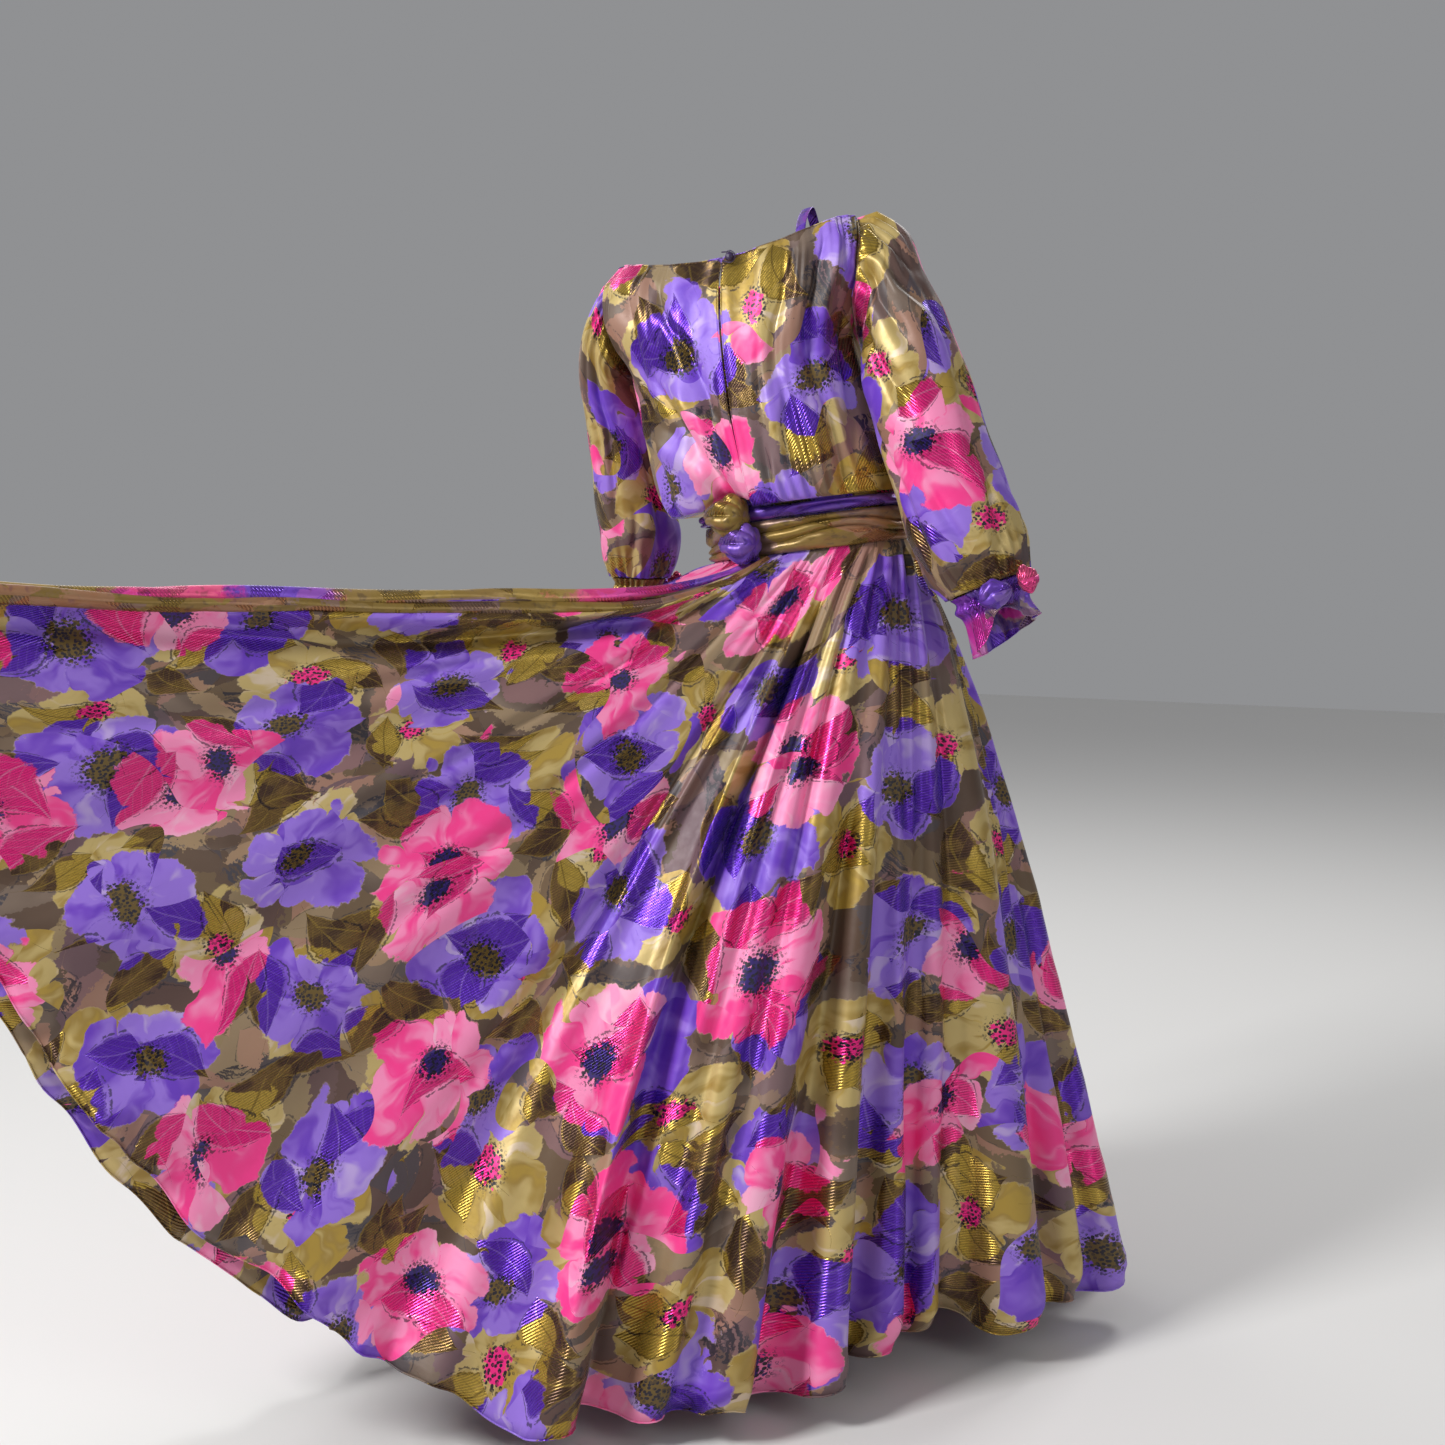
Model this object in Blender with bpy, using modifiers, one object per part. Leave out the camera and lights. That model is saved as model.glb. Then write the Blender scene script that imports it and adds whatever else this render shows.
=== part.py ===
"""Evening dress of printed chiffon, worn form, hollow, with its skirt lifted out at the back left.

Metres, +Z up. The origin is between the shoulders at the base of the neck. The front faces -Y and the
wearer's left is +X. The cloth pieces are thin walls, a seam's width apart, as a maker would cut them.
"""

import math

import bmesh
import bpy
import numpy as np

# Cloth and seams
WALL = 0.0016
SEAM_GAP = 0.0007
ROUND = 2 * math.pi

# The figure's stance, from the shoulders down to the waist seam
WAIST_Z = -0.385
WAIST_SHIFT = -0.084
SHIFT_POWER = 1.3
SHOULDER_SLOPE = 0.172
WAIST_SLOPE = 0.130
WAIST_HALF_WIDTH = 0.116
WAIST_HALF_DEPTH = 0.088

# Bodice, upright: heights at the centre and at the edge, depth behind or before the shoulder line.
# The cloth on the left is drawn wider by the raised arm.
BODICE_COLUMNS = ("centre_z", "depth", "right_x", "left_x", "edge_y", "edge_z")
BACK_ROWS = (
    (-0.3850, 0.0880, 0.1160, 0.1160, 0.000, -0.385),
    (-0.3560, 0.0880, 0.1160, 0.1160, 0.000, -0.356),
    (-0.3380, 0.0920, 0.1165, 0.1190, 0.000, -0.338),
    (-0.3420, 0.1170, 0.1240, 0.1570, 0.000, -0.342),
    (-0.3100, 0.1300, 0.1250, 0.1650, 0.000, -0.310),
    (-0.2500, 0.1290, 0.1190, 0.1660, 0.000, -0.245),
    (-0.2050, 0.1220, 0.1130, 0.1680, 0.000, -0.168),
    (-0.1550, 0.1120, 0.1240, 0.1720, 0.034, -0.130),
    (-0.1180, 0.1010, 0.1400, 0.1750, 0.046, -0.096),
    (-0.0830, 0.0860, 0.1430, 0.1730, 0.030, -0.062),
    (-0.0580, 0.0700, 0.1360, 0.1600, 0.004, -0.036),
)
FRONT_ROWS = (
    (-0.3850, 0.0880, 0.1160, 0.1160, 0.000, -0.385),
    (-0.3560, 0.0880, 0.1160, 0.1160, 0.000, -0.356),
    (-0.3380, 0.0915, 0.1165, 0.1190, 0.000, -0.338),
    (-0.3420, 0.1150, 0.1240, 0.1570, 0.000, -0.342),
    (-0.3100, 0.1290, 0.1250, 0.1650, 0.000, -0.310),
    (-0.2500, 0.1380, 0.1190, 0.1660, 0.000, -0.245),
    (-0.2050, 0.1360, 0.1130, 0.1680, 0.000, -0.168),
    (-0.1600, 0.1220, 0.1240, 0.1720, 0.034, -0.130),
    (-0.1280, 0.1020, 0.1400, 0.1750, 0.046, -0.096),
    (-0.1000, 0.0820, 0.1430, 0.1730, 0.030, -0.062),
    (-0.0800, 0.0640, 0.1360, 0.1600, 0.004, -0.036),
)
NECK_END = 0.74
NECK_RISE = 0.005
BACK_ACROSS = 17
FRONT_ACROSS = 23
NECK_FROM = 0.70
BODICE_GATHERS = 9
GATHER_DEPTH = 0.0030
GATHER_LEAST = 0.35
GATHERS_START = (0.20, 0.35)
GATHER_EDGE = 0.06
CENTRE_OPENING = 0.0016
OPENING_WIDENS = (0.25, 0.60)
OPENING_CLOSES = (0.85, 1.00)
CENTRE_BACK_DRIFT = {"neck": 0.008, "waist": 0.020}
PINCH = {"share": 0.18, "width": 0.16, "inward": 0.013, "raised": 0.018}
PINCH_STARTS = (0.22, 0.30)
PINCH_ENDS = (0.30, 0.62)

# Skirt: a ring in twelve gores, lightly gathered at the waist
SKIRT_LENGTH = 0.96
SKIRT_SWEEP = 271.0
SKIRT_FLAT_WAIST = 0.17
UNDER_SASH = 0.016
WING_HEADING = 49.0
WING_ROOT = 0.095
WING_COLUMNS = ("turn", "elevation", "length", "across")
WING_NEAR = (
    (0.0, 0.0, 0.945, 0.000),
    (8.0, 9.0, 0.950, 0.014),
    (17.0, 20.0, 0.950, 0.034),
    (27.0, 32.0, 0.950, 0.062),
    (37.0, 44.0, 0.955, 0.100),
    (46.0, 55.0, 0.965, 0.150),
    (54.0, 64.0, 0.975, 0.205),
)
WING_FAR = (
    (-50.0, -61.0, 1.010, -0.050),
    (-40.0, -49.0, 0.995, -0.048),
    (-30.0, -36.0, 0.975, -0.040),
    (-19.0, -22.0, 0.960, -0.028),
    (-9.0, -10.0, 0.950, -0.014),
)
RING_COLUMNS = ("turn", "azimuth", "radius", "drop")
RING_ROWS = (
    (62.0, 80.0, 0.470, 0.925),
    (70.0, 93.0, 0.400, 0.925),
    (79.0, 111.0, 0.315, 0.925),
    (89.0, 134.0, 0.250, 0.908),
    (100.0, 158.0, 0.265, 0.905),
    (111.0, 178.0, 0.318, 0.912),
    (122.0, 197.0, 0.365, 0.915),
    (134.0, 217.0, 0.370, 0.915),
    (147.0, 240.0, 0.345, 0.918),
    (161.0, 264.0, 0.330, 0.920),
    (175.0, 290.0, 0.330, 0.922),
    (189.0, 317.0, 0.345, 0.925),
    (202.0, 342.0, 0.385, 0.930),
    (212.0, 363.0, 0.440, 0.930),
)
WAIST_COLUMNS = ("turn", "azimuth")
WAIST_ROWS = (
    (0.0, 66.0),
    (27.0, 90.0),
    (42.0, 108.0),
    (58.0, 130.0),
    (95.0, 180.0),
    (162.0, 270.0),
    (230.0, 360.0),
    (250.0, 386.0),
)
SKIRT_GORES = (
    ("skirt_back_middle", 27.0, 47.3),
    ("skirt_back_right", 47.3, 67.6),
    ("skirt_right_back", 67.6, 87.9),
    ("skirt_right_side", 87.9, 108.2),
    ("skirt_right_front", 108.2, 128.5),
    ("skirt_front_right", 128.5, 148.8),
    ("skirt_front_middle", 148.8, 169.1),
    ("skirt_front_left", 169.1, 189.4),
    ("skirt_left_front", 189.4, 209.7),
    ("skirt_left_side", 209.7, 230.0),
    ("skirt_lifted_far", 230.0, 262.0),
    ("skirt_lifted_near", 262.0, 298.0),
)
SEAM_EASE = 1.3
SKIRT_FALLS = (0.0, 0.017, 0.050, 0.11, 0.21, 0.36, 0.56, 0.78, 1.0)
# Flutes: where each stands furthest out and in by its turn, and how far at the hem
FLUTE_COLUMNS = ("peak", "height", "valley", "depth")
FLUTE_ROWS = (
    (50.0, 0.000, 55.0, 0.012),
    (59.6, 0.036, 63.4, 0.020),
    (66.4, 0.012, 68.7, 0.014),
    (71.6, 0.026, 76.0, 0.030),
    (79.5, 0.032, 83.3, 0.034),
    (87.0, 0.026, 90.4, 0.030),
    (93.4, 0.002, 97.0, 0.026),
    (105.0, 0.036, 111.5, 0.022),
    (115.5, 0.012, 118.5, 0.016),
    (122.5, 0.036, 128.5, 0.032),
    (134.5, 0.034, 140.5, 0.030),
    (146.5, 0.036, 152.0, 0.034),
    (157.5, 0.028, 162.5, 0.034),
    (168.5, 0.038, 174.0, 0.030),
    (179.0, 0.030, 184.0, 0.034),
    (190.0, 0.038, 196.0, 0.034),
    (202.0, 0.034, 207.5, 0.026),
    (212.0, 0.014, 216.0, 0.000),
)
FLUTES_START = (46.0, 60.0)
FLUTES_END = (210.0, 220.0)
FLUTE_GROWTH = 1.5
FLUTE_AT_WAIST = 0.0030
COLUMN_TURN = 1.35
HIP_BULGE = 0.042
HIP_SHAPE = 0.62
RING_STARTS = (40.0, 68.0)
RING_ENDS = (196.0, 216.0)
RIDGE_RADIUS = 0.012
RIDGE_DIP = 0.030
RIDGE_SAG = 0.012
RIDGE_RISE = 0.028
RIDGE_WIDENS = 1.15
RIDGE_SPREAD = 15.0
RIDGE_ROOT = 0.05
HANG_SPAN = (26.0, 48.0)
FLUTE_ROUNDNESS = 0.24
DEEP_FOLDS = (
    {"turn": 56.5, "at_hem": 62.5, "width": 2.6, "depth": 0.016, "starts": 0.08},
    {"turn": 49.0, "at_hem": 49.0, "width": 3.2, "depth": 0.028, "starts": 0.10},
    {"turn": 39.0, "at_hem": 38.0, "width": 3.6, "depth": 0.014, "starts": 0.20},
    {"turn": 29.0, "at_hem": 27.0, "width": 3.6, "depth": 0.012, "starts": 0.12},
    {"turn": 19.0, "at_hem": 16.0, "width": 3.2, "depth": 0.010, "starts": 0.15},
    {"turn": -26.0, "at_hem": -24.0, "width": 4.5, "depth": 0.014, "starts": 0.20},
    {"turn": -40.0, "at_hem": -40.0, "width": 4.5, "depth": 0.018, "starts": 0.20},
)
FOLD_REACH = 0.45
SLOPE_STEP = 0.4
NEAREST_COLUMN = 0.3
WING_TURN_STEPS = (0.0, 0.5, 1.1, 2.0, 3.2, 5.0, 7.5, 10.5, 14.0, 18.0, 21.96)

# Sash: a gathered cummerbund in two stretches and its knot at the back left
SASH_CLEARANCE = 0.0028
SASH_AROUND = 32
SASH_UPPER = (0.0400, 0.0270)
SASH_LOWER = (0.0250, -0.0140)
SASH_FOLD = 0.0045
SASH_FLARE = 0.15
SASH_DRIFT = {"amount": 0.35, "turn": 0.6}
SASH_KNOT_LOBES = (
    {
        "name": "sash_knot_upper",
        "azimuth": 67.0,
        "height": 0.037,
        "out": 0.034,
        "size": (0.024, 0.021, 0.0170),
        "folds": 5,
        "tone": "gold",
    },
    {
        "name": "sash_knot_lower",
        "azimuth": 71.0,
        "height": 0.004,
        "out": 0.031,
        "size": (0.019, 0.018, 0.0160),
        "folds": 4,
        "tone": "violet",
    },
)

# Sleeves: rings from the armhole to the cuff, in the posed frame
SLEEVE_COLUMNS = ("x", "y", "z", "turn_down", "half_out", "half_forward")
SLEEVE_RIGHT = (
    (-0.1590, 0.003, -0.0795, 5.9, 0.0679, 0.056),
    (-0.1775, 0.005, -0.0925, 19.9, 0.0633, 0.058),
    (-0.1900, 0.012, -0.1205, 37.8, 0.0538, 0.060),
    (-0.2050, 0.022, -0.1560, 59.5, 0.0551, 0.062),
    (-0.2230, 0.030, -0.2050, 69.4, 0.0598, 0.064),
    (-0.2430, 0.034, -0.2620, 73.0, 0.0605, 0.066),
    (-0.2640, 0.034, -0.3200, 72.0, 0.0615, 0.067),
    (-0.2825, 0.034, -0.3680, 70.0, 0.0645, 0.067),
    (-0.2990, 0.034, -0.4070, 67.0, 0.0600, 0.060),
    (-0.3120, 0.034, -0.4350, 68.0, 0.0480, 0.047),
)
SLEEVE_LEFT = (
    (0.1650, 0.000, -0.1380, 15.0, 0.0580, 0.054),
    (0.1760, -0.004, -0.1685, 40.0, 0.0438, 0.060),
    (0.1790, -0.012, -0.2070, 70.0, 0.0418, 0.056),
    (0.1725, -0.021, -0.2530, 84.0, 0.0415, 0.053),
    (0.1690, -0.030, -0.3000, 90.0, 0.0430, 0.053),
    (0.1650, -0.038, -0.3450, 92.0, 0.0465, 0.055),
    (0.1600, -0.046, -0.3850, 92.0, 0.0500, 0.056),
    (0.1630, -0.054, -0.4150, 90.0, 0.0460, 0.048),
    (0.1680, -0.060, -0.4380, 88.0, 0.0370, 0.038),
)
SLEEVE_AROUND = 24
SLEEVE_GATHERS = 6
SLEEVE_GATHER_DEPTH = 0.0035
SLEEVE_HEAD_ROWS = 4
SLEEVE_FOOT_ROWS = 3
SLEEVE_UNDERARM = 0.35
ARMHOLE_FIRST_ROW = 6
ARMHOLE_GAP = 0.0008
CUFF_FALLS = (0.0, 0.008, 0.016, 0.025, 0.040, 0.060)
CUFF_FLARES = (1.02, 0.90, 1.00, 0.86, 0.88, 0.94)
CUFF_AROUND = 24
CUFF_RUFFLES = 6
CUFF_RUFFLE_DEPTH = 0.0040
CUFF_RUFFLE_LEAST = 0.3
CUFF_RUFFLE_GROWTH = 0.9
CUFF_POINT = 0.18
CUFF_NOTCH = 0.30
CUFF_NOTCH_WIDTH = 0.45
KNOT_ANGLE = {"right": 1.25, "left": -1.6}
CUFF_KNOT_FOLDS = 4
CUFF_LUMPS = (
    {"name": "cuff_knot_", "turn": 0.0, "fall": 0.014, "size": (0.020, 0.012, 0.013), "tone": "violet"},
    {"name": "cuff_loop_", "turn": -0.75, "fall": 0.010, "size": (0.014, 0.010, 0.014), "tone": "pink"},
)

# Neck closure and the inner strap
BUTTON_RADIUS = 0.0055
BUTTON_STAND = 0.0036
BUTTON_DROP = -0.001
BUTTON_ASIDE = -0.0045
LOOP_CORD_RADIUS = 0.0008
LOOP_GAP = 0.0004
LOOP_HALF_TURN = 0.70 * math.pi
LOOP_END = 0.0060
STRAP_WIDTH = 0.012
STRAP_PATH = (
    (-0.096, -0.066, -0.130),
    (-0.090, -0.044, -0.080),
    (-0.083, -0.024, -0.030),
    (-0.079, -0.003, 0.002),
    (-0.081, 0.026, -0.014),
    (-0.089, 0.054, -0.064),
    (-0.102, 0.074, -0.130),
)

# Base colours: the whole print's mean, and the folds where one of its colours shows
PRINT = (0.36, 0.22, 0.30)
VIOLET = (0.24, 0.10, 0.62)
PINK = (0.86, 0.16, 0.42)
GOLD = (0.46, 0.34, 0.12)
PLUM = (0.07, 0.03, 0.10)


def clear_scene():
    for item in list(bpy.data.objects):
        bpy.data.objects.remove(item, do_unlink=True)


def collection_named(name):
    group = bpy.data.collections.new(name)
    bpy.context.scene.collection.children.link(group)
    return group


def material(name, colour, roughness, metallic):
    """A Principled finish of one colour."""
    made = bpy.data.materials.new(name)
    made.use_nodes = True
    shader = made.node_tree.nodes["Principled BSDF"]
    shader.inputs["Base Color"].default_value = (*colour, 1.0)
    shader.inputs["Roughness"].default_value = roughness
    shader.inputs["Metallic"].default_value = metallic
    made.diffuse_color = (*colour, 1.0)
    return made


def column(rows, columns, name):
    return np.array([row[columns.index(name)] for row in rows], float)


def smooth_step(low, high, value):
    part = np.clip((np.asarray(value, float) - low) / (high - low), 0.0, 1.0)
    return part * part * (3.0 - 2.0 * part)


def through(knots, values, at):
    """A smooth curve through the values that doesn't overshoot between them."""
    knots = np.asarray(knots, float)
    values = np.asarray(values, float)
    at = np.clip(np.asarray(at, float), knots[0], knots[-1])
    step = np.diff(knots)
    slope = np.diff(values) / step
    tangent = np.zeros(len(knots))
    tangent[0] = slope[0]
    tangent[-1] = slope[-1]
    for i in range(1, len(knots) - 1):
        if slope[i - 1] * slope[i] > 0.0:
            before = 2.0 * step[i] + step[i - 1]
            after = step[i] + 2.0 * step[i - 1]
            tangent[i] = (before + after) / (before / slope[i - 1] + after / slope[i])
    cell = np.clip(np.searchsorted(knots, at, side="right") - 1, 0, len(step) - 1)
    width = step[cell]
    part = (at - knots[cell]) / width
    square = part * part
    cube = square * part
    return (
        (2 * cube - 3 * square + 1) * values[cell]
        + (cube - 2 * square + part) * width * tangent[cell]
        + (3 * square - 2 * cube) * values[cell + 1]
        + (cube - square) * width * tangent[cell + 1]
    )


def posed(points):
    """Gives the upright figure its stance: the waist to the wearer's right, both lines tilted."""
    points = np.array(points, float)
    fall = np.clip(points[..., 2] / WAIST_Z, 0.0, 1.0)
    slope = SHOULDER_SLOPE + (WAIST_SLOPE - SHOULDER_SLOPE) * fall
    points[..., 2] -= slope * points[..., 0]
    points[..., 0] += WAIST_SHIFT * fall ** SHIFT_POWER
    return points


def sheet(name, points, finish, group, wraps=False, wall=WALL):
    """An open surface through a grid of points, rows by columns, with a wall's thickness."""
    rows, across = points.shape[:2]
    mesh = bpy.data.meshes.new(name)
    build = bmesh.new()
    grid = [[build.verts.new(point) for point in row] for row in points]
    cells = across if wraps else across - 1
    for r in range(rows - 1):
        for c in range(cells):
            after = (c + 1) % across
            build.faces.new((grid[r][c], grid[r][after], grid[r + 1][after], grid[r + 1][c]))
    build.normal_update()
    build.to_mesh(mesh)
    build.free()
    mesh.shade_smooth()
    mesh.materials.append(finish)
    piece = bpy.data.objects.new(name, mesh)
    group.objects.link(piece)
    solid = piece.modifiers.new("wall", "SOLIDIFY")
    solid.thickness = wall
    solid.offset = 0.0
    solid.use_even_offset = False
    return piece


def soft_lump(name, centre, size, axes, folds, finish, group):
    """A small closed form of wrapped cloth: a ball drawn to its size, with soft folds around it."""
    mesh = bpy.data.meshes.new(name)
    build = bmesh.new()
    bmesh.ops.create_uvsphere(build, u_segments=14, v_segments=8, radius=1.0)
    along, across, up = (np.array(axis, float) for axis in axes)
    for vert in build.verts:
        x, y, z = vert.co
        fold = 1.0 + 0.07 * math.sin(folds * math.atan2(y, z) + 2.0 * x) * math.sqrt(y * y + z * z)
        wrapped = across * y * size[1] + up * z * size[2]
        vert.co = np.array(centre) + along * x * size[0] + wrapped * fold
    if np.dot(np.cross(along, across), up) < 0.0:
        bmesh.ops.reverse_faces(build, faces=build.faces)
    build.to_mesh(mesh)
    build.free()
    mesh.shade_smooth()
    mesh.materials.append(finish)
    piece = bpy.data.objects.new(name, mesh)
    group.objects.link(piece)
    return piece


def cord(name, points, radius, finish, group, sides=6):
    """A round cord through the points, with closed ends."""
    points = np.array(points, float)
    turns = ROUND * np.arange(sides) / sides
    mesh = bpy.data.meshes.new(name)
    build = bmesh.new()
    rings = []
    for i, point in enumerate(points):
        ahead = points[min(i + 1, len(points) - 1)] - points[max(i - 1, 0)]
        ahead = ahead / np.linalg.norm(ahead)
        outward = np.array([0.0, 1.0, 0.0]) - ahead * ahead[1]
        outward = outward / np.linalg.norm(outward)
        aside = np.cross(ahead, outward)
        ring = np.cos(turns)[:, None] * outward + np.sin(turns)[:, None] * aside
        rings.append([build.verts.new(point + radius * part) for part in ring])
    for before, after in zip(rings, rings[1:]):
        for k in range(sides):
            build.faces.new((before[k], before[(k + 1) % sides], after[(k + 1) % sides], after[k]))
    build.faces.new(rings[0][::-1])
    build.faces.new(rings[-1])
    build.to_mesh(mesh)
    build.free()
    mesh.shade_smooth()
    mesh.materials.append(finish)
    piece = bpy.data.objects.new(name, mesh)
    group.objects.link(piece)
    return piece


# Bodice


def bodice_half(rows, across, side, backward, gathers):
    """One half of the back or the front, from the centre line to the side seam and the armhole."""
    share = np.asarray(across, float)
    height = column(rows, BODICE_COLUMNS, "centre_z")[:, None]
    depth = column(rows, BODICE_COLUMNS, "depth")[:, None]
    edge_x = column(rows, BODICE_COLUMNS, "left_x" if side > 0 else "right_x")[:, None]
    edge_y = column(rows, BODICE_COLUMNS, "edge_y")[:, None]
    edge_z = column(rows, BODICE_COLUMNS, "edge_z")[:, None]
    level = np.linspace(0.0, 1.0, len(rows))[:, None]
    drift = CENTRE_BACK_DRIFT["waist"] + (CENTRE_BACK_DRIFT["neck"] - CENTRE_BACK_DRIFT["waist"]) * level
    drift = drift * (backward > 0) * side / edge_x
    angle = share[None, :] * math.pi / 2 + drift * (1.0 - share[None, :])
    x = edge_x * np.sin(angle)
    y = edge_y + (depth - edge_y) * np.cos(angle)
    z = height + (edge_z - height) * smooth_step(0.0, 1.0, share)[None, :]
    near_neck = smooth_step(NECK_FROM, 1.0, level)
    rise = NECK_RISE * np.sin(math.pi * np.clip(share / (2 * NECK_END), 0.0, 1.0)) ** 2
    fall = smooth_step(NECK_END, 1.0, share)
    z = z + near_neck * (rise * (1.0 - fall))[None, :]
    wave = np.cos(ROUND * gathers * share)[None, :]
    envelope = GATHER_LEAST + (1.0 - GATHER_LEAST) * np.abs(2.0 * level - 1.0) ** 1.5
    envelope = envelope * smooth_step(*GATHERS_START, level)
    edges = smooth_step(0.0, GATHER_EDGE, share) * smooth_step(0.0, GATHER_EDGE, 1.0 - share)
    envelope = envelope * edges
    swell = GATHER_DEPTH * wave * envelope
    if backward > 0 and side > 0:
        near = np.exp(-(((share - PINCH["share"]) / PINCH["width"]) ** 2))[None, :]
        low = smooth_step(*PINCH_STARTS, level) * (1.0 - smooth_step(*PINCH_ENDS, level))
        swell = swell - PINCH["inward"] * near * low
        z = z + PINCH["raised"] * near * low
    x = x + swell * np.sin(angle)
    y = y + swell * np.cos(angle)
    return np.stack([side * x, backward * y, z + 0.0 * x], axis=-1)


def bodice(group, finishes):
    quarter = BODICE_GATHERS / 2
    share = np.linspace(0.0, 1.0, BACK_ACROSS)
    level = np.linspace(0.0, 1.0, len(BACK_ROWS))
    opening = CENTRE_OPENING * smooth_step(*OPENING_WIDENS, level)
    opening = opening * (1.0 - 0.6 * smooth_step(*OPENING_CLOSES, level))
    for name, side in (("bodice_back_right", -1), ("bodice_back_left", 1)):
        points = bodice_half(BACK_ROWS, share, side, 1, quarter)
        trim = (1.0 - share) ** 4
        points[..., 0] += side * (SEAM_GAP / 2 + opening[:, None]) * trim[None, :]
        points[..., 1] += 0.5 * SEAM_GAP * share[None, :] ** 4
        sheet(name, facing_out(posed(points)), finishes["print"], group)
    half = np.linspace(0.0, 1.0, FRONT_ACROSS // 2 + 1)
    right = bodice_half(FRONT_ROWS, half, -1, -1, quarter)
    left = bodice_half(FRONT_ROWS, half, 1, -1, quarter)
    points = np.concatenate([right[:, ::-1], left[:, 1:]], axis=1)
    edge = np.abs(np.linspace(-1.0, 1.0, points.shape[1])) ** 4
    points[..., 1] -= 0.5 * SEAM_GAP * edge[None, :]
    sheet("bodice_front", facing_out(posed(points)), finishes["print"], group)


def facing_out(points):
    """Turns the grid round where its faces would point into the hollow."""
    rows, across = points.shape[:2]
    r = rows // 2
    c = across // 2
    down = points[r + 1, c] - points[r - 1, c]
    along = points[r, min(c + 1, across - 1)] - points[r, c - 1]
    normal = np.cross(along, down)
    centre = points.reshape(-1, 3).mean(axis=0)
    fall = np.clip(centre[2] / WAIST_Z, 0.0, 1.0)
    axis = np.array([WAIST_SHIFT * fall ** SHIFT_POWER, 0.0, centre[2]])
    outward = points[r, c] - axis
    return points if np.dot(normal, outward) > 0.0 else points[:, ::-1]


# Skirt


def heading(degrees):
    return np.array([math.cos(math.radians(degrees)), math.sin(math.radians(degrees))])


def hem_knots():
    """The hem's control points round the skirt: turn, x, y and drop, from the waist's centre."""
    ahead = heading(WING_HEADING)
    aside = heading(WING_HEADING + 90.0)
    knots = []
    for turn, elevation, length, across in WING_FAR + WING_NEAR:
        tilt = math.radians(abs(elevation))
        place = ahead * (WING_ROOT + length * math.cos(tilt)) + aside * across
        knots.append((turn, place[0], place[1], UNDER_SASH + length * math.sin(tilt)))
    for turn, azimuth, radius, drop in RING_ROWS:
        place = heading(azimuth) * radius
        knots.append((turn, place[0], place[1], drop))
    first = knots[0]
    knots.append((first[0] + SKIRT_SWEEP, *first[1:]))
    knots.append((knots[1][0] + SKIRT_SWEEP, *knots[1][1:]))
    return np.array(knots)


def flute_knots():
    """The flutes' peaks and valleys in turn order, with how far each stands out or in."""
    stands = []
    offsets = []
    for peak, height, valley, depth in FLUTE_ROWS:
        stands += [peak, valley]
        offsets += [height, -depth]
    return np.array(stands), np.array(offsets)


HEM_KNOTS = hem_knots()
FLUTE_STANDS, FLUTE_OFFSETS = flute_knots()


def hem_point(turn):
    return [through(HEM_KNOTS[:, 0], HEM_KNOTS[:, i], turn) for i in (1, 2, 3)]


def waist_point(turn):
    turns = list(column(WAIST_ROWS, WAIST_COLUMNS, "turn"))
    azimuths = list(column(WAIST_ROWS, WAIST_COLUMNS, "azimuth"))
    turns = [turns[-1] - SKIRT_SWEEP] + turns + [SKIRT_SWEEP]
    azimuths = [azimuths[-1] - 360.0] + azimuths + [azimuths[0] + 360.0]
    angle = np.radians(through(turns, azimuths, turn))
    return WAIST_HALF_WIDTH * np.cos(angle), WAIST_HALF_DEPTH * np.sin(angle)


def signed_turn(turn):
    """Turns past the ring come back as the far side of the wing."""
    turn = np.asarray(turn, float)
    return np.where(turn > SKIRT_SWEEP + WING_FAR[0][0], turn - SKIRT_SWEEP, turn)


def skirt_base(turn, fall):
    """The skirt without its flutes: straight threads from the waist seam to the hem."""
    wx, wy = waist_point(np.mod(turn, SKIRT_SWEEP))
    turn = signed_turn(turn)
    hx, hy, drop = hem_point(turn)
    start = UNDER_SASH / SKIRT_LENGTH
    out = np.clip((fall - start) / (1.0 - start), 0.0, 1.0)
    x = wx + (hx - wx) * out
    y = wy + (hy - wy) * out
    z = -np.where(fall < start, fall * SKIRT_LENGTH, UNDER_SASH + (drop - UNDER_SASH) * out)
    ring = smooth_step(*RING_STARTS, turn) * (1.0 - smooth_step(*RING_ENDS, turn))
    bulge = HIP_BULGE * ring * np.sin(math.pi * out ** HIP_SHAPE)
    reach = np.hypot(hx, hy)
    x = x + bulge * hx / reach
    y = y + bulge * hy / reach
    return x, y, z, out, turn


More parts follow.
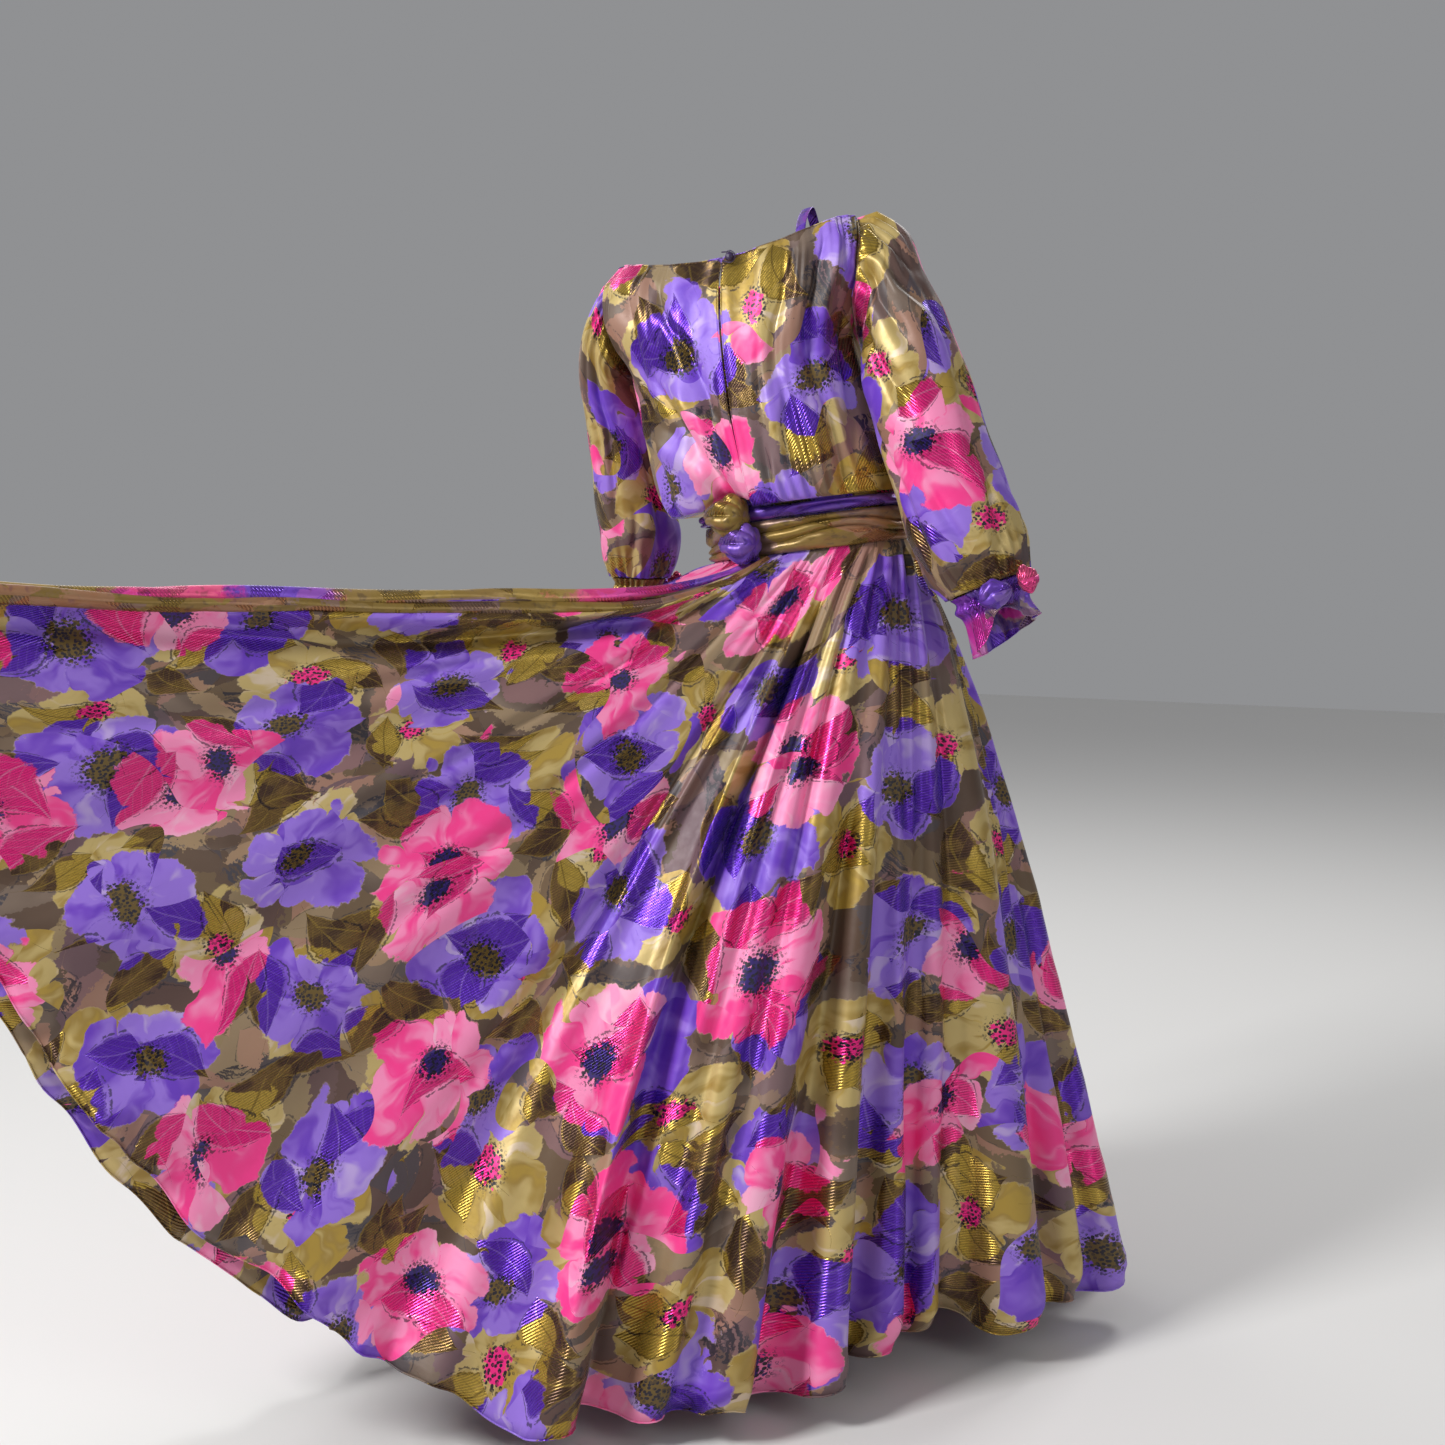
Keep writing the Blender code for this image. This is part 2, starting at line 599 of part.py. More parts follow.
def skirt_surface(turns, falls):
    """Points of the skirt, a row for each fall from waist to hem, before it is set at the waist."""
    turn, fall = np.meshgrid(np.asarray(turns, float), np.asarray(falls, float))
    x, y, z, out, signed = skirt_base(turn, fall)
    ax, ay, _, _, _ = skirt_base(turn + SLOPE_STEP, fall)
    bx, by, _, _, _ = skirt_base(turn - SLOPE_STEP, fall)
    length = np.hypot(ax - bx, ay - by) + 1e-9
    along = np.stack([(ax - bx) / length, (ay - by) / length])
    outward = np.stack([along[1], -along[0]])
    aside = heading(WING_HEADING + 90.0)
    # Flutes: round waves that grow from small gathers at the waist
    phase = math.pi * through(FLUTE_STANDS, np.arange(len(FLUTE_STANDS)), signed)
    offset = through(FLUTE_STANDS, FLUTE_OFFSETS, signed)
    size = through(FLUTE_STANDS, np.abs(FLUTE_OFFSETS), signed)
    where = smooth_step(*FLUTES_START, signed) * (1.0 - smooth_step(*FLUTES_END, signed))
    grown = where * out ** FLUTE_GROWTH
    gather = where * FLUTE_AT_WAIST * smooth_step(0.0, 0.02, out) * (1.0 - out)
    swell = grown * offset + gather * np.cos(phase)
    round_out = FLUTE_ROUNDNESS * grown * size * np.sin(2.0 * phase)
    x = x + swell * outward[0] + round_out * along[0]
    y = y + swell * outward[1] + round_out * along[1]
    # Long folds that run down from the ridge's root
    for fold in DEEP_FOLDS:
        middle = fold["turn"] + (fold["at_hem"] - fold["turn"]) * out ** 2
        band = np.exp(-(((signed - middle) / fold["width"]) ** 2))
        inward = fold["depth"] * band * smooth_step(fold["starts"], fold["starts"] + FOLD_REACH, out)
        sense = 1.0 if fold["turn"] > 0 else -1.0
        x = x - inward * sense * aside[0]
        y = y - inward * sense * aside[1]
    # The ridge: a rounded edge that both sheets hang from, dipped at its root and sagging
    hang = 1.0 - smooth_step(HANG_SPAN[0], HANG_SPAN[1], np.abs(signed))
    below = np.abs(np.radians(signed)) * RIDGE_WIDENS * SKIRT_LENGTH * out
    rounded = below - np.sqrt(below ** 2 + RIDGE_RADIUS ** 2) + RIDGE_RADIUS
    wide = RIDGE_RADIUS * np.tanh(below / RIDGE_RADIUS) * np.sign(signed)
    x = x + hang * wide * aside[0]
    y = y + hang * wide * aside[1]
    top = np.exp(-((signed / RIDGE_SPREAD) ** 2))
    z = z + hang * rounded
    z = z - top * RIDGE_DIP * (1.0 - np.exp(-out / RIDGE_ROOT))
    z = z - top * (RIDGE_SAG * 4.0 * out * (1.0 - out) - RIDGE_RISE * out)
    return np.stack([x, y, z], axis=-1)


def set_at_waist(points):
    """Puts the waist ring's own tilt and place on points that hang from its centre."""
    points = np.array(points, float)
    level = np.clip(1.0 + points[..., 2] / SKIRT_LENGTH, 0.0, 1.0)
    near = np.clip(np.abs(points[..., 0]), 0.0, WAIST_HALF_WIDTH) * np.sign(points[..., 0])
    points[..., 2] += WAIST_Z - SEAM_GAP - WAIST_SLOPE * near * level
    points[..., 0] += WAIST_SHIFT
    return points


def skirt_turns(first, last):
    """Where the columns stand between two seams: close at the ridge, even along the flutes."""
    wing = sorted({-t for t in WING_TURN_STEPS} | set(WING_TURN_STEPS))
    wide = [t + SKIRT_SWEEP for t in wing]
    inner = (first + NEAREST_COLUMN, last - NEAREST_COLUMN)
    stands = [t for t in wing + wide if inner[0] < t < inner[1]]
    near_end = WING_TURN_STEPS[-1]
    low = max(first, near_end)
    high = min(last, SKIRT_SWEEP - near_end)
    if high > low:
        count = max(2, round((high - low) / COLUMN_TURN))
        stands += [low + (high - low) * i / count for i in range(1, count)]
        stands += [t for t in (low, high) if inner[0] < t < inner[1]]
    return [first] + sorted(set(stands)) + [last]


def skirt(group, finishes):
    for name, first, last in SKIRT_GORES:
        stands = np.array(skirt_turns(first, last))
        points = np.zeros((len(SKIRT_FALLS), len(stands), 3))
        for r, fall in enumerate(SKIRT_FALLS):
            shy = math.degrees(0.5 * SEAM_GAP * SEAM_EASE / (SKIRT_FLAT_WAIST + SKIRT_LENGTH * fall))
            row = stands.copy()
            row[0] += shy
            row[-1] -= shy
            points[r] = skirt_surface(row, [fall])[0]
        sheet(name, set_at_waist(points)[:, ::-1], finishes["print"], group)


# Sash


def waist_ring(azimuth, height, out):
    """A point outside the waist seam, at a height above it."""
    angle = np.radians(azimuth)
    x = (WAIST_HALF_WIDTH + out) * np.cos(angle)
    y = (WAIST_HALF_DEPTH + out) * np.sin(angle)
    return posed(np.stack([x, y, WAIST_Z + height + 0.0 * x], axis=-1))


def sash(group, finishes):
    azimuth = np.linspace(0.0, 360.0, SASH_AROUND, endpoint=False)
    for name, span, folds, tone in (
        ("sash_upper", SASH_UPPER, 1.0, "violet"),
        ("sash_lower", SASH_LOWER, 3.0, "gold"),
    ):
        rows = []
        count = int(3 + 2 * folds)
        for part in np.linspace(0.0, 1.0, count):
            height = span[1] + (span[0] - span[1]) * part
            drift = SASH_DRIFT["amount"] * np.sin(np.radians(azimuth) + SASH_DRIFT["turn"])
            bump = np.sin(math.pi * (folds * part + drift * np.sin(math.pi * part))) ** 2
            flare = SASH_FLARE * max(0.0, height - SASH_LOWER[0] / 2)
            out = SASH_CLEARANCE + SASH_FOLD * bump + flare
            rows.append(waist_ring(azimuth, height, out))
        sheet(name, np.array(rows), finishes[tone], group, wraps=True)
    for lobe in SASH_KNOT_LOBES:
        angle = math.radians(lobe["azimuth"])
        outward = (math.cos(angle), math.sin(angle), 0.0)
        along = (-math.sin(angle), math.cos(angle), 0.0)
        centre = waist_ring(np.array(lobe["azimuth"]), lobe["height"], lobe["out"])
        axes = (along, outward, (0.0, 0.0, 1.0))
        soft_lump(lobe["name"], centre, lobe["size"], axes, lobe["folds"], finishes[lobe["tone"]], group)


# Sleeves


def armhole(side, around):
    """The bodice's armhole, posed, with its top first and round by the back for each angle."""
    heights = column(BACK_ROWS, BODICE_COLUMNS, "edge_z")[ARMHOLE_FIRST_ROW:]
    wide = "left_x" if side > 0 else "right_x"
    widths = column(BACK_ROWS, BODICE_COLUMNS, wide)[ARMHOLE_FIRST_ROW:]
    depths = column(BACK_ROWS, BODICE_COLUMNS, "edge_y")[ARMHOLE_FIRST_ROW:]
    span = np.linspace(0.0, 1.0, len(heights))
    points = []
    for angle in around:
        rise = 0.5 + 0.5 * math.cos(angle)
        sense = 1.0 if math.sin(angle) >= 0.0 else -1.0
        height = through(span, heights, rise)
        width = through(span, widths, rise)
        depth = through(span, depths, rise)
        points.append((side * width, sense * depth, height))
    return posed(np.array(points))


def ring_at(row, side, around, gather):
    """One ring of a sleeve: its normal turns from sideways to down the arm."""
    x, y, z, turn_down, half_out, half_forward = row
    tilt = math.radians(turn_down)
    up = np.array([side * math.sin(tilt), 0.0, math.cos(tilt)])
    back = np.array([0.0, 1.0, 0.0])
    wave = 1.0 + gather * np.cos(SLEEVE_GATHERS * around)
    across = np.cos(around)[:, None] * half_out * up + np.sin(around)[:, None] * half_forward * back
    return np.array([x, y, z]) + across * wave[:, None]


def sleeve(side, label, rows, group, finishes):
    around = np.linspace(0.0, ROUND, SLEEVE_AROUND, endpoint=False)
    edge = armhole(side, around)
    edge[:, 0] += side * (WALL + ARMHOLE_GAP)
    rings = [edge]
    last = len(rows) - 1
    for i, row in enumerate(rows):
        half_out = row[SLEEVE_COLUMNS.index("half_out")]
        at_head = SLEEVE_GATHER_DEPTH * (1.0 - smooth_step(0, SLEEVE_HEAD_ROWS, i)) / half_out
        at_cuff = SLEEVE_GATHER_DEPTH * smooth_step(last - SLEEVE_FOOT_ROWS, last, i) / half_out
        upper = SLEEVE_UNDERARM + (1.0 - SLEEVE_UNDERARM) * smooth_step(-0.4, 0.6, np.cos(around))
        rings.append(ring_at(row, side, around, at_head * upper + at_cuff))
    points = np.array(rings)[:, ::side]
    sheet("sleeve_" + label, points, finishes["print"], group, wraps=True)


def cuff(side, label, row, group, finishes):
    """The drawn-in band under the sleeve, with its short flounce."""
    x, y, z, turn_down, half_out, half_forward = row
    tilt = math.radians(turn_down)
    along = np.array([side * math.cos(tilt), 0.0, -math.sin(tilt)])
    up = np.array([side * math.sin(tilt), 0.0, math.cos(tilt)])
    back = np.array([0.0, 1.0, 0.0])
    around = np.linspace(0.0, ROUND, CUFF_AROUND, endpoint=False)
    inset = WALL + SLEEVE_GATHER_DEPTH
    rings = []
    apart = np.mod(around - KNOT_ANGLE[label] + math.pi, ROUND) - math.pi
    notch = CUFF_NOTCH * np.exp(-((apart / CUFF_NOTCH_WIDTH) ** 2))
    reach = 1.0 - CUFF_POINT * np.cos(around) - notch
    for fall, flare in zip(CUFF_FALLS, CUFF_FLARES):
        stretch = 1.0 + (reach - 1.0) * smooth_step(CUFF_FALLS[2], CUFF_FALLS[-1], fall)
        centre = np.array([x, y, z]) + along * (fall * stretch + WALL)[:, None]
        growth = CUFF_RUFFLE_LEAST + CUFF_RUFFLE_GROWTH * fall / CUFF_FALLS[-1]
        ripple = CUFF_RUFFLE_DEPTH * growth * np.cos(CUFF_RUFFLES * around)
        out = (np.cos(around) * ((half_out - inset) * flare + ripple))[:, None] * up
        fore = (np.sin(around) * ((half_forward - inset) * flare + ripple))[:, None] * back
        rings.append(centre + out + fore)
    points = np.array(rings)[:, ::side]
    tone = {"right": "violet", "left": "gold"}[label]
    sheet("cuff_" + label, points, finishes[tone], group, wraps=True)


def cuff_knot(side, label, row, group, finishes):
    """A knot of cloth where the cuff is drawn up, with a loop beside it."""
    x, y, z, turn_down, half_out, half_forward = row
    tilt = math.radians(turn_down)
    down = np.array([side * math.cos(tilt), 0.0, -math.sin(tilt)])
    up = np.array([side * math.sin(tilt), 0.0, math.cos(tilt)])
    back = np.array([0.0, 1.0, 0.0])
    for lump in CUFF_LUMPS:
        turn = KNOT_ANGLE[label] + lump["turn"]
        size = lump["size"]
        outward = math.cos(turn) * up + math.sin(turn) * back
        aside = -math.sin(turn) * up + math.cos(turn) * back
        reach = math.hypot(math.cos(turn) * half_out, math.sin(turn) * half_forward)
        stand = reach + size[1] + SLEEVE_GATHER_DEPTH
        centre = np.array([x, y, z]) + down * lump["fall"] + outward * stand
        axes = (aside, outward, down)
        finish = finishes[lump["tone"]]
        soft_lump(lump["name"] + label, centre, size, axes, CUFF_KNOT_FOLDS, finish, group)


# Neck


def neck_closure(group, finishes):
    top = posed(np.array([[0.0, BACK_ROWS[-1][1], BACK_ROWS[-1][0]]]))[0]
    centre = top + np.array([BUTTON_ASIDE, WALL / 2 + BUTTON_RADIUS + BUTTON_STAND, BUTTON_DROP])
    mesh = bpy.data.meshes.new("neck_button")
    build = bmesh.new()
    bmesh.ops.create_uvsphere(build, u_segments=12, v_segments=8, radius=BUTTON_RADIUS)
    build.to_mesh(mesh)
    build.free()
    mesh.shade_smooth()
    mesh.materials.append(finishes["plum"])
    button = bpy.data.objects.new("neck_button", mesh)
    button.location = centre
    group.objects.link(button)
    reach = BUTTON_RADIUS + LOOP_CORD_RADIUS + LOOP_GAP
    points = []
    for turn in np.linspace(-LOOP_HALF_TURN, LOOP_HALF_TURN, 13):
        place = centre + reach * np.array([-math.cos(turn), 0.0, math.sin(turn)])
        points.append(tuple(place))
    tails = [(top[0] + LOOP_END, centre[1], end[2]) for end in (points[0], points[-1])]
    points = [tails[0]] + points + [tails[1]]
    cord("button_loop", points, LOOP_CORD_RADIUS, finishes["plum"], group)


def inner_strap(group, finishes):
    """A narrow strap inside the right shoulder, held inside the front and the back."""
    path = np.array(STRAP_PATH)
    knots = np.arange(len(path))
    at = np.linspace(0.0, len(path) - 1.0, 22)
    middle = np.stack([through(knots, path[:, i], at) for i in range(3)], axis=-1)
    across = np.array([1.0, 0.0, -SHOULDER_SLOPE])
    across = across / np.linalg.norm(across)
    points = np.stack([middle - across * STRAP_WIDTH / 2, middle + across * STRAP_WIDTH / 2], axis=1)
    sheet("inner_strap_right", points, finishes["violet"], group)


def main():
    clear_scene()
    dress = collection_named("evening_dress")
    finishes = {
        "print": material("printed_chiffon", PRINT, 0.45, 0.20),
        "violet": material("violet_chiffon", VIOLET, 0.45, 0.15),
        "pink": material("pink_chiffon", PINK, 0.45, 0.15),
        "gold": material("gold_lame", GOLD, 0.38, 0.45),
        "plum": material("plum_button", PLUM, 0.35, 0.0),
    }
    bodice(dress, finishes)
    skirt(dress, finishes)
    sash(dress, finishes)
    for side, label, rows in ((-1, "right", SLEEVE_RIGHT), (1, "left", SLEEVE_LEFT)):
        sleeve(side, label, rows, dress, finishes)
        cuff(side, label, rows[-1], dress, finishes)
        cuff_knot(side, label, rows[-1], dress, finishes)
    neck_closure(dress, finishes)
    inner_strap(dress, finishes)


main()
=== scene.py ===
"""Evening dress, worn form: the looks. Fine cloth shells on the solids' form, one printed metallic chiffon
for all of them, and small pieces at the neck, the waist and the cuffs. Metres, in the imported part's frame.
"""

import math

import bpy
import numpy as np
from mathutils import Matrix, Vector


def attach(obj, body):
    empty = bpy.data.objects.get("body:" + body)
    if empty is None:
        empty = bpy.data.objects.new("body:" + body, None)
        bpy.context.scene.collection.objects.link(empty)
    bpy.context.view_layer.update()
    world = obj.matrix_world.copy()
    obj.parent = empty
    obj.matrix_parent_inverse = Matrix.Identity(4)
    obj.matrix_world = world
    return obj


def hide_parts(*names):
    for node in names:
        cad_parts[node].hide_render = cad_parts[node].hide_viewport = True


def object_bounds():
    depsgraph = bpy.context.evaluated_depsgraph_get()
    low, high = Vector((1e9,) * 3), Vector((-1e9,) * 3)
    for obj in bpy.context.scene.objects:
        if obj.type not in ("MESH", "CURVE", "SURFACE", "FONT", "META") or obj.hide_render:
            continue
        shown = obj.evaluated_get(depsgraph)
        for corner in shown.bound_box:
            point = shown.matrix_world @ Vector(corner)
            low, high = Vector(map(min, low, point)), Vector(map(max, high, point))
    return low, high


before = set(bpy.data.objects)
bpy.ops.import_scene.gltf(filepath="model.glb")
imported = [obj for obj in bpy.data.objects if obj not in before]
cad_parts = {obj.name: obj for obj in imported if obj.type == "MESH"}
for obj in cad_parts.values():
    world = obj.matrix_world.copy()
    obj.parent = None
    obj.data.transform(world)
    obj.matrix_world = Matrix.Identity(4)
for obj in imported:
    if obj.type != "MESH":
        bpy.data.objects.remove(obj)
CAD_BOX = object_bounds()


def table(names, *rows):
    """Rows of values as records, each value under its column's name."""
    return [dict(zip(names.split(), row)) for row in rows]


ROUND = 2 * math.pi
BACKWARD = np.array([0.0, 1.0, 0.0])
CLOTH = 0.0007
HEM_ROLL = 0.0011
EDGE_ROLL = 0.0009
RIPPLE_WAVES = 7
TUBE_SIDES = 8
TUBE_SIDE = np.array([0.31, 0.17, 0.93])

# The figure's stance, as in the part's source
WAIST_Z = -0.385
WAIST_SHIFT = -0.084
SHIFT_POWER = 1.3
SHOULDER_SLOPE = 0.172
WAIST_SLOPE = 0.13
WAIST_HALF_WIDTH = 0.116
WAIST_HALF_DEPTH = 0.088

# The bodice from the waist up: the back's height and depth, the front's, how far the right and the left side
# reach out, and the side seam's or armhole's own depth and height
BODICE_ROWS = np.array((
    (-0.385, 0.088, -0.385, 0.088, 0.116, 0.116, 0.0, -0.385),
    (-0.356, 0.088, -0.356, 0.088, 0.116, 0.116, 0.0, -0.356),
    (-0.338, 0.092, -0.338, 0.0915, 0.1165, 0.119, 0.0, -0.338),
    (-0.342, 0.117, -0.342, 0.115, 0.124, 0.157, 0.0, -0.342),
    (-0.31, 0.13, -0.31, 0.129, 0.125, 0.165, 0.0, -0.31),
    (-0.25, 0.129, -0.25, 0.138, 0.119, 0.166, 0.0, -0.245),
    (-0.205, 0.122, -0.205, 0.136, 0.113, 0.168, 0.0, -0.168),
    (-0.155, 0.112, -0.16, 0.122, 0.124, 0.172, 0.034, -0.13),
    (-0.118, 0.101, -0.128, 0.102, 0.14, 0.175, 0.046, -0.096),
    (-0.083, 0.086, -0.1, 0.082, 0.143, 0.173, 0.03, -0.062),
    (-0.058, 0.07, -0.08, 0.064, 0.136, 0.16, 0.004, -0.036),
))
BACK_COLUMNS = (0, 1, 4, 5, 6, 7)
FRONT_COLUMNS = (2, 3, 4, 5, 6, 7)
ARMHOLE_START = 6
BODICE_SHARE = np.linspace(0.0, 1.0, 101)
BODICE_LEVELS = 121
BODICE_HALF_WIDTH = 0.19
BODICE_HEIGHT = 0.33
NECK_END = 0.74
NECK_RISE = 0.005
BODICE_GATHERS = 4.5
GATHER_DEPTH = 0.003
NECK_PLEAT_DEPTH = 0.0022
WAIST_PLEAT_DEPTH = 0.004
BODICE_SOFT_DEPTH = 0.003
CENTRE_OPENING = 0.0016
OPENING_ROW = 34
DRIFT_AT_WAIST = 0.02
DRIFT_AT_NECK = 0.008
PINCH_SHARE = 0.18
PINCH_WIDTH = 0.16
PINCH_INWARD = 0.013
PINCH_RAISED = 0.018
# Folds drawn across the bodice, in metres from the centre line and up from the waist. A negative depth
# stands out
BODICE_FOLDS = table(
    "side back route width depth",
    (1, 1, ((0.056, 0.212), (0.032, 0.163), (0.01, 0.113)), 0.012, -0.01),
    (1, 1, ((0.04, 0.245), (0.017, 0.175), (0.002, 0.12)), 0.006, 0.0075),
    (1, 1, ((0.082, 0.205), (0.046, 0.15), (0.018, 0.108)), 0.006, 0.0085),
    (1, 1, ((0.13, 0.172), (0.063, 0.148), (0.034, 0.12)), 0.01, -0.0085),
    (1, 1, ((0.135, 0.2), (0.09, 0.172), (0.055, 0.155)), 0.0065, 0.006),
    (1, 1, ((0.111, 0.3), (0.095, 0.251), (0.101, 0.205)), 0.007, 0.006),
    (1, 1, ((0.07, 0.3), (0.048, 0.25), (0.03, 0.215)), 0.006, 0.0055),
    (-1, 1, ((0.076, 0.3), (0.06, 0.226), (0.057, 0.185)), 0.0065, 0.006),
    (-1, 1, ((0.118, 0.305), (0.105, 0.242), (0.099, 0.18)), 0.0075, 0.008),
    (-1, 1, ((0.133, 0.3), (0.122, 0.24), (0.118, 0.19)), 0.008, -0.006),
    (-1, 1, ((0.18, 0.242), (0.146, 0.175), (0.118, 0.135)), 0.0075, 0.008),
    (-1, 1, ((0.04, 0.215), (0.034, 0.165), (0.024, 0.122)), 0.006, 0.0055),
    (-1, 1, ((0.111, 0.175), (0.108, 0.145), (0.104, 0.112)), 0.007, 0.007),
    (-1, 1, ((0.068, 0.185), (0.054, 0.15), (0.043, 0.12)), 0.006, 0.0065),
    (-1, 1, ((0.088, 0.16), (0.08, 0.135), (0.076, 0.112)), 0.006, -0.005),
    (1, -1, ((0.12, 0.3), (0.085, 0.21), (0.05, 0.12)), 0.009, 0.006),
    (1, -1, ((0.07, 0.26), (0.055, 0.19), (0.028, 0.118)), 0.007, 0.005),
    (-1, -1, ((0.126, 0.29), (0.09, 0.2), (0.06, 0.12)), 0.008, 0.006),
    (-1, -1, ((0.06, 0.24), (0.048, 0.18), (0.03, 0.12)), 0.007, 0.005),
)

# The skirt's flat ring, and how its cloth hangs
SKIRT_LENGTH = 0.96
SKIRT_SWEEP = 271.0
SKIRT_FLAT_WAIST = 0.17
UNDER_SASH = 0.016
SKIRT_START = UNDER_SASH / SKIRT_LENGTH
SKIRT_FALLS = np.concatenate([np.linspace(0.0, 0.10, 16)[:-1], np.linspace(0.10, 1.0, 76)])
STAND_STEPS = ((3.0, 0.16), (12.0, 0.24), (math.inf, 0.42))
TURN_STEP = 0.4
SEAM_GAP = 0.0007
WING_HEADING = 49.0
WING_ROOT = 0.095
# The lifted cloth's hem: turn, how steeply its thread falls, length, and how far aside of the ridge it ends
WING_NEAR = (
    (0.0, 0.0, 0.945, 0.0), (8.0, 9.0, 0.95, 0.014), (17.0, 20.0, 0.95, 0.034),
    (27.0, 32.0, 0.95, 0.062), (37.0, 44.0, 0.955, 0.1), (46.0, 55.0, 0.965, 0.15),
    (54.0, 64.0, 0.975, 0.205),
)
WING_FAR = (
    (-50.0, -61.0, 1.01, -0.05), (-40.0, -49.0, 0.995, -0.048), (-30.0, -36.0, 0.975, -0.04),
    (-19.0, -22.0, 0.96, -0.028), (-9.0, -10.0, 0.95, -0.014),
)
# The standing ring's hem: turn, azimuth, radius and drop
RING_ROWS = (
    (62.0, 80.0, 0.47, 0.925), (70.0, 93.0, 0.4, 0.925), (79.0, 111.0, 0.315, 0.925),
    (89.0, 134.0, 0.25, 0.908), (100.0, 158.0, 0.265, 0.905), (111.0, 178.0, 0.318, 0.912),
    (122.0, 197.0, 0.365, 0.915), (134.0, 217.0, 0.37, 0.915), (147.0, 240.0, 0.345, 0.918),
    (161.0, 264.0, 0.33, 0.92), (175.0, 290.0, 0.33, 0.922), (189.0, 317.0, 0.345, 0.925),
    (202.0, 342.0, 0.385, 0.93), (212.0, 363.0, 0.44, 0.93),
)
# Turns of the ring, and the azimuths where they leave the waist
WAIST_ROWS = (
    (-21.0, 26.0), (0.0, 66.0), (27.0, 90.0), (42.0, 108.0), (58.0, 130.0),
    (95.0, 180.0), (162.0, 270.0), (230.0, 360.0), (250.0, 386.0), (271.0, 426.0),
)
SKIRT_PIECES = (
    ("skirt_back", 262.0, 399.5, (
        "skirt_lifted_near", "skirt_back_middle", "skirt_back_right",
        "skirt_right_back", "skirt_right_side", "skirt_right_front",
    )),
    ("skirt_front", 128.5, 262.0, (
        "skirt_front_right", "skirt_front_middle", "skirt_front_left",
        "skirt_left_front", "skirt_left_side", "skirt_lifted_far",
    )),
)
# Flutes: a crest's turn and how far it stands out, then the turn and depth of the hollow after it
FLUTE_ROWS = (
    (50.0, 0.0, 55.0, 0.012), (59.6, 0.036, 63.4, 0.02), (66.4, 0.012, 68.7, 0.014),
    (71.6, 0.026, 76.0, 0.03), (79.5, 0.032, 83.3, 0.034), (87.0, 0.026, 90.4, 0.03),
    (93.4, 0.002, 97.0, 0.026), (105.0, 0.036, 111.5, 0.022), (115.5, 0.012, 118.5, 0.016),
    (122.5, 0.036, 128.5, 0.032), (134.5, 0.034, 140.5, 0.03), (146.5, 0.036, 152.0, 0.034),
    (157.5, 0.028, 162.5, 0.034), (168.5, 0.038, 174.0, 0.03), (179.0, 0.03, 184.0, 0.034),
    (190.0, 0.038, 196.0, 0.034), (202.0, 0.034, 207.5, 0.026), (212.0, 0.014, 216.0, 0.0),
)
FLUTE_STANDS = np.array([turn for row in FLUTE_ROWS for turn in (row[0], row[2])])
FLUTE_OFFSETS = np.array([offset for row in FLUTE_ROWS for offset in (row[1], -row[3])])
FLUTE_GROWTH = 1.5
FLUTE_AT_WAIST = 0.003
FLUTE_ROUNDNESS = 0.24
WAIST_GATHER_DEPTH = 0.0034
HANG_WAVE = 0.0032
HANG_RIPPLE = 0.0009
HEM_CURL = 0.022
HEM_RUFFLE = 0.008
HEM_TUCK = 0.012
HEM_LIFT = 0.018
HIP_BULGE = 0.042
RIDGE_RADIUS = 0.012
RIDGE_SPREAD = 1.15
RIDGE_TOP = 15.0
RIDGE_DIP = 0.03
RIDGE_SAG = 0.012
RIDGE_RISE = 0.028
HANG_SPAN = (26.0, 48.0)
DEEP_FOLDS = table(
    "turn at_hem width depth starts",
    (56.5, 62.5, 2.6, 0.016, 0.08), (49.0, 49.0, 3.2, 0.028, 0.1), (39.0, 38.0, 3.6, 0.014, 0.2),
    (29.0, 27.0, 3.6, 0.012, 0.12), (19.0, 16.0, 3.2, 0.01, 0.15), (-26.0, -24.0, 4.5, 0.014, 0.2),
    (-40.0, -40.0, 4.5, 0.018, 0.2),
)
# Finer folds than the solids have: where round the skirt, how wide in degrees, how deep, and between which
# shares of the way down
SOFT_FOLDS = table(
    "turn at_hem width depth starts ends",
    (12.0, 9.0, 1.0, 0.005, 0.04, 1.3), (24.0, 20.0, 1.0, 0.007, 0.02, 0.7),
    (33.5, 31.0, 1.2, 0.008, 0.04, 0.85), (44.0, 45.0, 1.1, 0.011, 0.02, 0.9),
    (47.0, 53.0, 0.9, -0.012, 0.03, 1.2), (53.0, 61.0, 1.1, -0.022, 0.03, 1.1),
    (56.5, 63.0, 1.0, 0.034, 0.03, 1.2), (60.5, 65.5, 0.9, -0.01, 0.03, 0.9),
    (68.0, 70.0, 0.8, 0.007, 0.02, 0.6), (76.5, 76.0, 1.1, 0.017, 0.25, 1.2),
    (86.0, 90.0, 1.2, 0.012, 0.02, 0.9), (97.0, 97.0, 0.9, 0.006, 0.02, 0.6),
    (116.0, 111.0, 1.5, 0.015, 0.04, 1.2), (140.0, 140.5, 1.0, 0.007, 0.02, 0.9),
    (163.0, 162.5, 1.1, 0.008, 0.02, 0.9), (184.0, 184.0, 1.0, 0.007, 0.02, 0.8),
    (-15.0, -12.0, 1.4, 0.007, 0.05, 0.9), (-34.0, -34.0, 1.6, 0.009, 0.1, 1.2),
)
RIDGE_ROLLS = table(
    "below width height",
    (0.01, 0.008, 0.01), (0.0235, 0.0042, -0.017), (0.037, 0.008, 0.014), (0.062, 0.014, -0.024),
)
